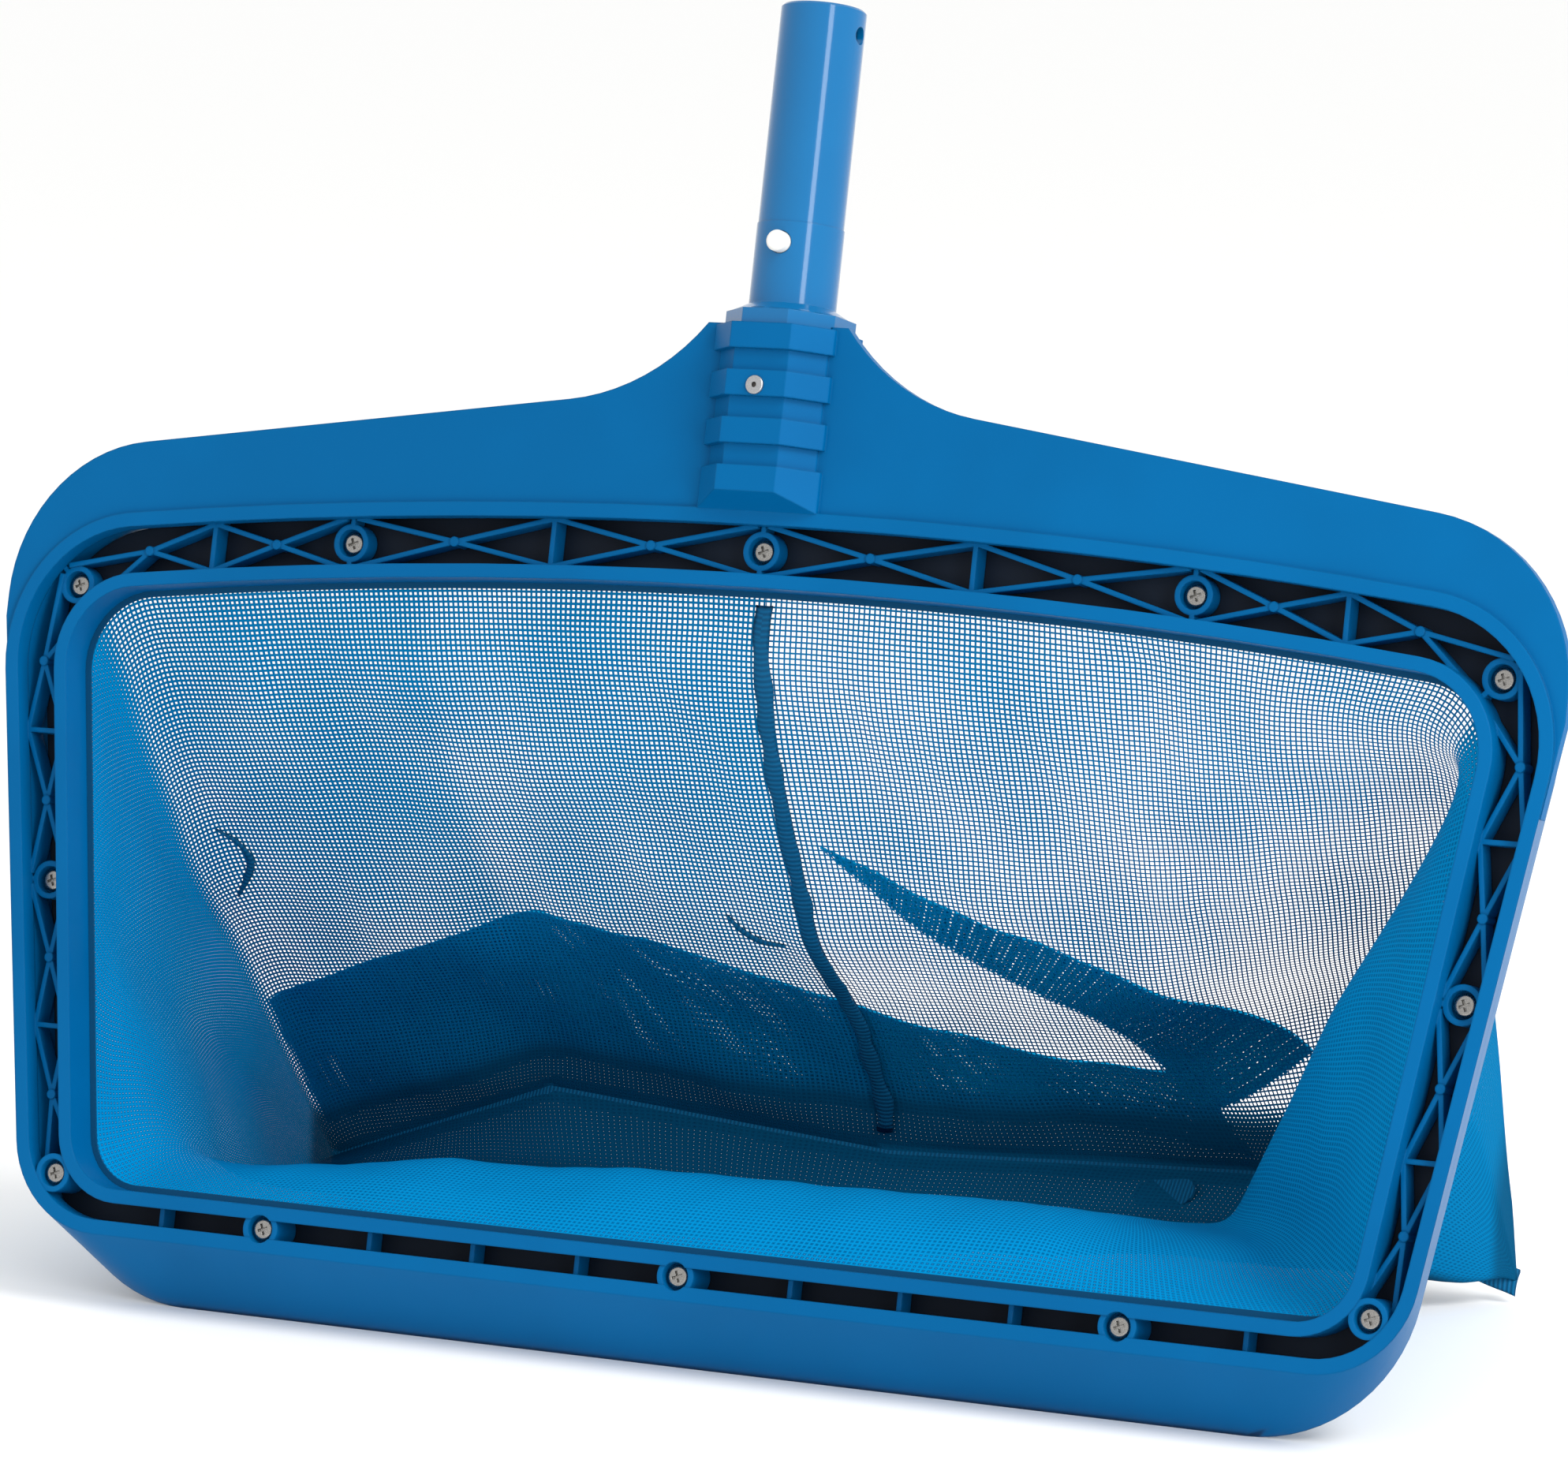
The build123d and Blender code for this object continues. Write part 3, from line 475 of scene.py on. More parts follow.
# Polypropylene, navy: plain moulded ring at the bottom of the channel.
RING_NAVY = MouldedPlastic("polypropylene_navy_moulded", "#17212E", "#131C28", roughness=0.5)
# Acetal: milky white, waxy gloss.
CLIP_WHITE = MouldedPlastic(
    "acetal_white_moulded", "#DDDCD8", "#D8D7D2", roughness=0.3, edge_mm=0.4, coat=0.2
)
# Stainless steel, cold-formed and tumbled bright.
SCREW_STEEL = TurnedMetal("stainless_steel_tumbled", "#B4B2AE", "#6F6D6A", roughness=0.24)
# Aluminium, pressed: paler and softer in its gloss than steel.
RIVET_ALUMINIUM = TurnedMetal("aluminium_pressed", "#C6C7C8", "#8C8E90", roughness=0.36)
# Mild steel stem, snapped off: dark and rough.
STEM_STEEL = TurnedMetal("mild_steel_snapped", "#6F6B66", "#3C3936", roughness=0.5)
# Polyester netting, heat-set.  Its second colour is painted thread shade, its last painted shade
# deep in the bag.
BAG_NET = Netting("polyester_netting_woven", "#0082BC", "#005A8C", "#07405F")
# The same netting in loose folds, coloured lighter as painted light soaking through both layers.
FOLD_NET_PAINTED_LIGHT = Netting("polyester_netting_painted_light", "#0E9CCC", "#008ABA", "#07405F")
# Polyester netting folded and stitched, so thick that it looks solid and dark.
SEAM_CLOTH = WovenTape("polyester_netting_folded", "#00557F", "#004469", rib_mm=1.9)
# Polyester binding tape along the far seam.
END_TAPE = WovenTape("polyester_tape_ribbed", "#00628F", "#004A70")
FLOOR_PAPER = StudioPaper("paper_white_matt", "#F7F7F6")


# ---------------------------------------------------------------- the head's own coordinates
@dataclass
class HeadFrame:
    """Places drawing coordinates in the row frame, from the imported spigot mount."""

    mount: str = "pole_spigot"
    mount_height: float = 385.1
    axis_y: float = 10.7
    place: Matrix = field(init=False)

    def __post_init__(self) -> None:
        """Works the placement out from the mount's centre and axis."""
        found = next(m for m in frame["record"]["mounts"] if m["name"] == self.mount)
        up = Vector(found["axis"]).normalized()
        right = Vector((1, 0, 0))
        back = up.cross(right)
        turn = Matrix((right, back, up)).transposed().to_4x4()
        centre = Matrix.Translation(Vector(found["pos_m"]))
        own = Matrix.Translation(-Vector((0, self.axis_y, self.mount_height)) * MM)
        self.place = centre @ turn @ own

    def at(self, x: float, y: float, z: float) -> Vector:
        """The place in the row frame, in metres, of a drawing point in millimetres."""
        return self.place @ (Vector((x, y, z)) * MM)


def put(
    name: str, mesh: bmesh.types.BMesh, finish: bpy.types.Material, slot: str, smooth: bool = True
) -> bpy.types.Object:
    """Makes an object of a finished bmesh, dressed and riding on the head.

    Args:
        name: The piece's name.
        mesh: The bmesh, already in the row frame. It is freed.
        finish: The material.
        slot: The record's material slot; not used.
        smooth: Whether its faces are shaded smooth.

    Returns:
        The object, at the origin.
    """
    data = bpy.data.meshes.new(name)
    for face in mesh.faces:
        face.smooth = smooth
    mesh.to_mesh(data)
    mesh.free()
    piece = bpy.data.objects.new(name, data)
    bpy.context.scene.collection.objects.link(piece)
    data.materials.append(finish)
    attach(piece, BODY)
    log.info("piece %s: %d faces", name, len(data.polygons))
    return piece


# ---------------------------------------------------------------- hard parts
class Finished(Enum):
    """The finish of each packed hard node, by the start of its name."""

    front_frame = FRAME_BLUE
    handle_spigot = HANDLE_BLUE
    clamp_ring = RING_NAVY
    front_snap_button = CLIP_WHITE
    rear_snap_button = CLIP_WHITE
    clip_spring = CLIP_WHITE
    socket_rivet = RIVET_ALUMINIUM
    rivet_mandrel = STEM_STEEL
    screw = SCREW_STEEL
    bag_hem = SEAM_CLOTH


@dataclass
class HardParts:
    """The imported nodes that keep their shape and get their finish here."""

    crease: float = 32.0

    def dress(self) -> None:
        """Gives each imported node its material, and rounds its facets by a weld and a split."""
        made = {finish.name: finish.material() for finish in {f.value for f in Finished}}
        kinds = {member: value.value for member, value in Finished.__members__.items()}
        for name, node in frame["nodes"].items():
            kind = next((k for k in kinds if name.startswith(k)), None)
            if kind is None:
                continue
            node.data.materials.clear()
            node.data.materials.append(made[kinds[kind].name])
            self.round_off(node)
            log.info("node %s in %s", name, kinds[kind].name)

    def round_off(self, node: bpy.types.Object) -> None:
        """Shades a node smooth up to its creases."""
        for face in node.data.polygons:
            face.use_smooth = True
        weld = node.modifiers.new("weld", "WELD")
        weld.merge_threshold = 0.004 * MM
        split = node.modifiers.new("creases", "EDGE_SPLIT")
        split.split_angle = math.radians(self.crease)


# ---------------------------------------------------------------- the mouth
@dataclass
class Mouth:
    """The clear outline of the mouth that the netting starts from, as in the hard frame."""

    half_low: float = 231.0
    half_high: float = 264.0
    bottom: float = 7.6
    top: float = 227.0
    arch_radius: float = 2110.0
    r_low: float = 20.0
    r_high: float = 26.0
    inset: float = 1.0
    depth: float = 14.2

    def side(self, z: float) -> float:
        """Half-width of the leaning side at height z."""
        return self.half_low + (self.half_high - self.half_low) * z / self.top - self.inset

    def arch(self, x: float) -> float:
        """Height of the arch at x."""
        return self.top - self.inset - x * x / (2 * self.arch_radius)

    def half_outline(self) -> list[Vector]:
        """The right half, from the middle of the arch round to the middle of the lower edge."""
        lean = math.atan2(self.half_high - self.half_low, self.top)
        high_r, low_r = self.r_high - self.inset, self.r_low - self.inset
        high_x = self.side(self.top - 1.5 * self.r_high) - high_r / math.cos(lean)
        reach = self.arch_radius - high_r
        high_z = self.top - self.inset - high_r - high_x**2 / (2 * reach)
        tilt = math.asin(high_x / reach)
        low_z = self.bottom + self.r_low
        low_x = self.side(low_z) - low_r / math.cos(lean)
        points = [Vector((high_x * n / 12, 0, self.arch(high_x * n / 12))) for n in range(12)]
        for n in range(9):
            turn = math.pi / 2 - tilt - (math.pi / 2 - tilt + lean) * n / 8
            points.append(
                Vector((high_x + high_r * math.cos(turn), 0, high_z + high_r * math.sin(turn)))
            )
        for n in range(9):
            turn = -lean - (math.pi / 2 - lean) * n / 8
            points.append(
                Vector((low_x + low_r * math.cos(turn), 0, low_z + low_r * math.sin(turn)))
            )
        points.append(Vector((0, 0, self.bottom + self.inset)))
        return points

    def walk(self, count: int) -> tuple[list[Vector], float]:
        """Goes round the mouth in even steps, from the middle of the arch to the right.

        Args:
            count: How many steps to take.

        Returns:
            The places, with the first repeated at the end, and the whole way round.
        """
        half = self.half_outline()
        ring = half + [Vector((-p.x, p.y, p.z)) for p in reversed(half[:-1])]
        reach = [0.0]
        for a, b in zip(ring, ring[1:]):
            reach.append(reach[-1] + (b - a).length)
        places, at = [], 0
        for n in range(count + 1):
            want = reach[-1] * n / count
            while at < len(ring) - 2 and reach[at + 1] < want:
                at += 1
            share = (want - reach[at]) / max(reach[at + 1] - reach[at], 1e-9)
            place = ring[at].lerp(ring[at + 1], min(share, 1.0))
            places.append(Vector((place.x, self.depth, place.z)))
        return places, reach[-1]


# ---------------------------------------------------------------- the bag
@dataclass(frozen=True)
class BagLine:
    """One line of the bag from its mouth to its far seam, through given places.

    Between it and the next line, threads cover the share close of their pitch, and the
    painted shade of the netting deep in the bag goes from the first value at the crest to
    the second further in.
    """

    name: str
    places: Sequence[Point]
    close: float = 0.27
    wet: tuple[float, float] = (0.0, 0.0)

    def at(self, v: float) -> Vector:
        """The place a share v of the way from mouth to seam, on a smooth curve."""
        spans = len(self.places) - 1
        k = min(int(v * spans), spans - 1)
        t = v * spans - k
        p = [Vector(self.places[min(max(k + n, 0), spans)]) for n in (-1, 0, 1, 2)]
        if k == 0:
            p[0] = p[1] * 2 - p[2]
        if k == spans - 1:
            p[3] = p[2] * 2 - p[1]
        m1, m2 = (p[2] - p[0]) / 2, (p[3] - p[1]) / 2
        return (
            p[1] * (2 * t**3 - 3 * t**2 + 1)
            + m1 * (t**3 - 2 * t**2 + t)
            + p[2] * (3 * t**2 - 2 * t**3)
            + m2 * (t**3 - t**2)
        )


# The last pair on a line is its painted shade, at the crest and further in.
LINES = (
    BagLine("top_middle", ((-8, 14, 226), (-8, 25, 194), (-8, 60, 153), (-8, 92, 120),
                           (-8, 147, 86), (-15, 192, 49)), close=0.36),
    BagLine("top_right", ((125, 14, 223), (125, 29, 196), (121, 62, 158), (112, 108, 118),
                          (106, 162, 90), (120, 202, 55)), close=0.34),
    BagLine("corner_top_right", ((258, 14, 205), (247, 24, 194), (241, 52, 184), (230, 110, 158),
                                 (206, 190, 118), (212, 221, 27)), close=0.9, wet=(0.0, 0.4)),
    BagLine("right", ((245, 14, 110), (215, 48, 114), (189, 80, 110), (197, 125, 100),
                      (204, 180, 80), (212, 221, 27)), close=0.9, wet=(0.0, 0.4)),
    BagLine("corner_low_right", ((231, 14, 18), (188, 72, 34), (140, 134, 40), (168, 172, 32),
                                 (198, 204, 24), (212, 221, 27)), close=0.92, wet=(0.0, 1.0)),
    BagLine("low_right", ((118, 14, 8.6), (116, 38, 27), (116, 70, 35), (112, 108, 28),
                          (115, 155, 24), (120, 202, 55)), close=0.92, wet=(0.0, 1.0)),
    BagLine("low_middle", ((-8, 14, 8.6), (-6, 38, 25), (-6, 68, 34), (-6, 105, 20),
                           (-8, 150, 12), (-15, 192, 49)), close=0.92, wet=(0.0, 1.0)),
    BagLine("low_left", ((-118, 14, 8.6), (-116, 38, 22), (-116, 66, 31), (-118, 105, 16),
                         (-122, 155, 14), (-154, 196, 60)), close=0.92, wet=(0.0, 1.0)),
    BagLine("corner_low_left", ((-231, 14, 18), (-228, 48, 25), (-229, 88, 20), (-238, 130, 14),
                                (-247, 175, 18), (-251, 215, 27)), close=0.9),
    BagLine("left", ((-246, 14, 110), (-251, 50, 93), (-254, 98, 73), (-255, 145, 54),
                     (-254, 185, 38), (-251, 215, 27)), close=0.9),
    BagLine("corner_top_left", ((-258, 14, 205), (-255, 48, 163), (-255, 95, 121),
                                (-253, 138, 88), (-252, 178, 58), (-251, 215, 27)), close=0.52),
    BagLine("top_left", ((-130, 14, 223), (-130, 28, 192), (-130, 62, 152), (-132, 104, 119),
                         (-140, 150, 90), (-154, 196, 60)), close=0.46),
)


@dataclass
class Bag:
    """The netting bag: one sheet round the mouth, closed by a seam at its far end."""

    head: HeadFrame
    mouth: Mouth = field(default_factory=Mouth)
    around: int = 288
    along: int = 72
    grip: float = 0.8  # share of the depth over which the mouth's outline fades
    fade_power: float = 1.4
    smoothing: int = 5
    keep: float = 0.4  # share of its own place that each smoothing leaves a point
    sway: float = 1.6  # height of the waves in the netting
    long_wave: float = 0.022  # noise steps a millimetre
    short_wave: Point = (0.07, 0.03, 0.03)
    push_way: Point = (0.25, 0.55, 0.8)  # the way that the waves push: mostly up and back
    patchy: float = 0.07  # how much the threads' closeness wanders
    past_crest: tuple[float, float] = (0.36, 0.5)  # where the painted shade deep in the bag sets in
    crowding: tuple[float, float] = (0.87, 0.92)  # where the netting bunches before the seam
    bunched: tuple[float, float] = (0.94, 0.85)  # its closeness and its painted shade there
    hem_rows: int = 6  # rows next to the mouth that the ripples spare, in part
    seam_rows: int = 4  # and rows next to the far seam

    def line_places(self, ring: Sequence[Vector]) -> list[float]:
        """Where each bag line starts, as a share of the way round the mouth."""
        count = len(ring) - 1
        starts = []
        for line in LINES:
            first = Vector(line.places[0])
            nearest = min(range(count), key=lambda n: (ring[n] - first).length)
            starts.append(nearest / count)
        starts[0] = 0.0
        return starts

    def surface(self) -> list[list[Vector]]:
        """Works out the bag's places, one row for each step round the mouth.

        Returns:
            Rows of drawing places, from the mouth to the far seam.
        """
        ring, _ = self.mouth.walk(self.around)
        starts = self.line_places(ring) + [1.0]
        rows = []
        k = 0
        for n in range(self.around + 1):
            u = n / self.around
            while k < len(LINES) - 1 and starts[k + 1] <= u:
                k += 1
            share = min((u - starts[k]) / (starts[k + 1] - starts[k]), 1.0)
            a, b = LINES[k], LINES[(k + 1) % len(LINES)]
            row = []
            first = a.at(0).lerp(b.at(0), share)
            for m in range(self.along + 1):
                v = m / self.along
                fade = max(0.0, 1 - v / self.grip) ** self.fade_power
                row.append(a.at(v).lerp(b.at(v), share) + (ring[n] - first) * fade)
            rows.append(row)
        return rows

    def smoothed(self, rows: list[list[Vector]]) -> list[list[Vector]]:
        """Rounds the folds off, with the mouth and the far seam held."""
        share = (1 - self.keep) / 4
        for _ in range(self.smoothing):
            old = [[p.copy() for p in row] for row in rows]
            for n in range(self.around + 1):
                before = old[(n - 1) % self.around]
                after = old[(n + 1) % self.around]
                for m in range(1, self.along):
                    near = before[m] + after[m] + old[n % self.around][m - 1]
                    near += old[n % self.around][m + 1]
                    rows[n][m] = old[n % self.around][m] * self.keep + near * share
        return rows

    def ripple(self, place: Vector) -> Vector:
        """The small push that long waves and short ripples give a place."""
        slow = noise.noise(place * self.long_wave)
        quick = noise.noise(place * Vector(self.short_wave) + Vector((5, 1, 7)))
        push = self.sway * slow * 1.6 + self.sway * 0.5 * quick
        return Vector(self.push_way) * push

    def dress(
        self, starts: Sequence[float], u: float, v: float, place: Vector
    ) -> tuple[float, float]:
        """How close the threads are at a place, and how much painted shade the netting gets.

        Args:
            starts: Where each line starts, as a share of the way round the mouth.
            u: The share of the way round the mouth.
            v: The share of the way to the far seam.
            place: The drawing place.

        Returns:
            Closeness and the share of painted shade.
        """
        k = max(n for n, start in enumerate(starts) if start <= u)
        line, before = LINES[k], LINES[k - 1]
        close, wet = line.close, line.wet
        if u - starts[k] < 0.5 / self.around:
            close = (close + before.close) / 2
            wet = ((wet[0] + before.wet[0]) / 2, (wet[1] + before.wet[1]) / 2)
        close += self.patchy * noise.noise(place * 0.03)
        deep = soft(*self.past_crest, v)
        close += 0.1 * wet[1] * deep
        deep_shade_share = wet[0] + (wet[1] - wet[0]) * deep
        crowded = soft(*self.crowding, v)
        close += (self.bunched[0] - close) * crowded
        deep_shade_share += (self.bunched[1] - deep_shade_share) * crowded
        return min(close, 1.0), deep_shade_share

    def build(self, finish: bpy.types.Material) -> tuple[bpy.types.Object, list[list[Vector]]]:
        """Builds the bag from a grid bent onto its surface.

        Args:
            finish: The netting.

        Returns:
            The piece, and the rows of drawing places that other pieces lie on.
        """
        rows = self.smoothed(self.surface())
        for n in range(self.around + 1):
            for m in range(1, self.along + 1):
                hold = min(1.0, m / self.hem_rows) * min(1.0, (self.along - m) / self.seam_rows)
                rows[n][m] = rows[n][m] + self.ripple(rows[n][m]) * hold
        rows[self.around] = rows[0]
        ring, way_round = self.mouth.walk(self.around)
        mesh = bmesh.new()
        sheet_grid(mesh, self.around, self.along)
        weave = mesh.loops.layers.uv.new(WEAVE_MAP)
        close = mesh.verts.layers.float.new(CLOSENESS)
        wet = mesh.verts.layers.float.new(PAINTED_DEEP_SHADE)
        starts = self.line_places(ring)
        lengths = [running_lengths(row) for row in rows]
        for face in mesh.faces:
            for loop in face.loops:
                n, m = grid_step(loop.vert, self.around, self.along)
                loop[weave].uv = (way_round * n / self.around * MM, lengths[n][m] * MM)
        for vert in mesh.verts:
            n, m = grid_step(vert, self.around, self.along)
            u, v = (n % self.around) / self.around, m / self.along
            vert[close], vert[wet] = self.dress(starts, u, v, rows[n][m])
        bend_grid(mesh, self.around, self.along, lambda n, m: self.head.at(*rows[n][m]))
        bmesh.ops.remove_doubles(mesh, verts=mesh.verts, dist=0.01 * MM)
        bmesh.ops.recalc_face_normals(mesh, faces=mesh.faces)
        piece = put("bag_net", mesh, finish, "blue_mesh")
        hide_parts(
            "bag_top_right_panel",
            "bag_top_left_panel",
            "bag_bottom_panel",
            "bag_left_panel",
            "bag_right_panel",
        )
        return piece, rows


def soft(low: float, high: float, value: float) -> float:
    """A smooth step from 0 to 1.

    Args:
        low: The value that gives 0.
        high: The value that gives 1.
        value: The value to map.

    Returns:
        The share.
    """
    t = min(max((value - low) / (high - low), 0.0), 1.0)
    return t * t * (3 - 2 * t)


def sheet_grid(mesh: bmesh.types.BMesh, across: int, along: int) -> None:
    """Makes a flat grid on X and Y, from the origin and one unit a step.

    Args:
        mesh: The empty bmesh that gets it.
        across: Its steps in X.
        along: Its steps in Y.
    """
    bmesh.ops.create_grid(mesh, x_segments=across, y_segments=along, size=0.5)
    shift = Matrix.Translation((0.5, 0.5, 0))
    stretch = Matrix.Diagonal((across, along, 1, 1))
    bmesh.ops.transform(mesh, matrix=stretch @ shift, verts=mesh.verts)


def grid_step(vert: bmesh.types.BMVert, across: int, along: int) -> tuple[int, int]:
    """Which step of a flat grid a vertex is at.

    Args:
        vert: The vertex.
        across: The grid's steps in X.
        along: The grid's steps in Y.

    Returns:
        Its step across and its step along.
    """
    return min(max(round(vert.co.x), 0), across), min(max(round(vert.co.y), 0), along)


def bend_grid(
    mesh: bmesh.types.BMesh, across: int, along: int, place: Callable[[int, int], Vector]
) -> None:
    """Moves every vertex of a flat grid to the place of its step.

    Args:
        mesh: The grid.
        across: Its steps in X.
        along: Its steps in Y.
        place: Gives the place of a step across and a step along.
    """
    for vert in mesh.verts:
        vert.co = place(*grid_step(vert, across, along))


def running_lengths(row: Sequence[Vector]) -> list[float]:
    """The way along a row of places to each of them."""
    reach = [0.0]
    for a, b in zip(row, row[1:]):
        reach.append(reach[-1] + (b - a).length)
    return reach


def along_row(row: Sequence[Vector], share: float) -> Vector:
    """The place a share of the way along a row, on a smooth curve."""
    return BagLine("row", [tuple(p) for p in row]).at(share)


# ---------------------------------------------------------------- what lies on the bag
def ground(top: BVHTree, flat: Vector) -> float:
    """The height of the bag's surface over or under a plan place."""
    hit = top.ray_cast(Vector((flat.x, flat.y, SKY_HEIGHT)), Vector((0, 0, -1)))[0]
    return hit.z if hit else BAG_HEIGHT


@dataclass
class Pleat:
    """A fold of spare netting lying on the top of the bag, between its ridge and its root.

    Both edges are plan places, (x, y), from left to right.  The fold is a flattened loop:
    one layer runs up to the ridge and the other runs back.
    """

    name: str
    ridge: Sequence[tuple[float, float]]
    root: Sequence[tuple[float, float]]
    lift: float = 2.4
    clear: float = 0.3  # least height over the bag, as a share of the lift
    under: float = 0.35  # how high the lower layer rises, against 1 for the upper one
    close: float = 0.7
    # painted shade deep in the bag, none on a fold
    wet: float = 0.0
    across: int = 96
    deep: int = 28

    def build(
        self, head: HeadFrame, top: BVHTree, finish: bpy.types.Material
    ) -> bpy.types.Object:
        """Lays the fold on the bag.

        Args:
            head: Places drawing coordinates.
            top: The bag's surface in drawing coordinates.
            finish: The netting.

        Returns:
            The piece.
        """
        ridge = [Vector((*p, 0)) for p in self.ridge]
        root = [Vector((*p, 0)) for p in self.root]
        grid: list[list[Vector]] = []
        for n in range(self.across + 1):
            share = n / self.across
            a, b = along_row(root, share), along_row(ridge, share)
            row = []
            for m in range(self.deep + 1):
                turn = math.pi * m / self.deep
                reach = math.sin(turn)
                flat = a.lerp(b, reach)
                layer = 1.0 if m > self.deep / 2 else self.under
                crumple = 0.6 + 0.4 * noise.noise(flat * 0.03)
                rise = self.lift * (self.clear + layer * crumple)
                row.append(Vector((flat.x, flat.y + 0.5 * rise, ground(top, flat) + rise)))
            grid.append(row)
        mesh = bmesh.new()
        sheet_grid(mesh, self.across, self.deep)
        weave = mesh.loops.layers.uv.new(WEAVE_MAP)
        close = mesh.verts.layers.float.new(CLOSENESS)
        wet = mesh.verts.layers.float.new(PAINTED_DEEP_SHADE)
        middle = running_lengths([row[0] for row in grid])
        lengths = [running_lengths(row) for row in grid]
        for face in mesh.faces:
            for loop in face.loops:
                n, m = grid_step(loop.vert, self.across, self.deep)
                loop[weave].uv = (middle[n] * MM, lengths[n][m] * MM)
        for vert in mesh.verts:
            vert[close] = self.close
            vert[wet] = self.wet
        bend_grid(mesh, self.across, self.deep, lambda n, m: head.at(*grid[n][m]))
        piece = put(self.name, mesh, finish, "blue_mesh")
        return piece


@dataclass
class Ribbon:
    """A narrow strip sewn along a row of places, with two faces and a little thickness."""

    name: str
    slot: str
    width: float
    thickness: float
    replaces: str
    uneven: float = 0.0
    across: int = 4

    def build(
        self,
        head: HeadFrame,
        row: Sequence[Vector],
        side: Callable[[int], Vector],
        out: Callable[[int], Vector],
        finish: bpy.types.Material,
    ) -> bpy.types.Object:
        """Builds the strip.

        Args:
            head: Places drawing coordinates.
            row: The strip's middle line in drawing places.
            side: The direction across the strip at each step.
            out: The direction its face looks at each step.
            finish: The cloth.

        Returns:
            The piece.
        """
        count = len(row) - 1
        mesh = bmesh.new()
        sheet_grid(mesh, count, self.across)
        weave = mesh.loops.layers.uv.new(WEAVE_MAP)
        reach = running_lengths(row)

        def place(n: int, m: int) -> Vector:
            """The drawing place of a step along and a step across."""
            wide = self.width * (1 + self.uneven * noise.noise(Vector((reach[n] * 0.09, 3, 1))))
            sway = self.uneven * self.width * 0.5 * noise.noise(Vector((reach[n] * 0.05, 9, 4)))
            off = (m / self.across - 0.5) * wide + sway
            crown = self.thickness * (1 - (2 * m / self.across - 1) ** 2)
            return row[n] + side(n) * off + out(n) * crown

        for face in mesh.faces:
            for loop in face.loops:
                n, m = grid_step(loop.vert, count, self.across)
                loop[weave].uv = (reach[n] * MM, m / self.across * self.width * MM)
        bend_grid(mesh, count, self.across, lambda n, m: head.at(*place(n, m)))
        bmesh.ops.solidify(mesh, geom=mesh.faces[:], thickness=self.thickness * MM)
        bmesh.ops.recalc_face_normals(mesh, faces=mesh.faces)
        piece = put(self.name, mesh, finish, self.slot)
        if self.replaces:
            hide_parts(self.replaces)
        return piece


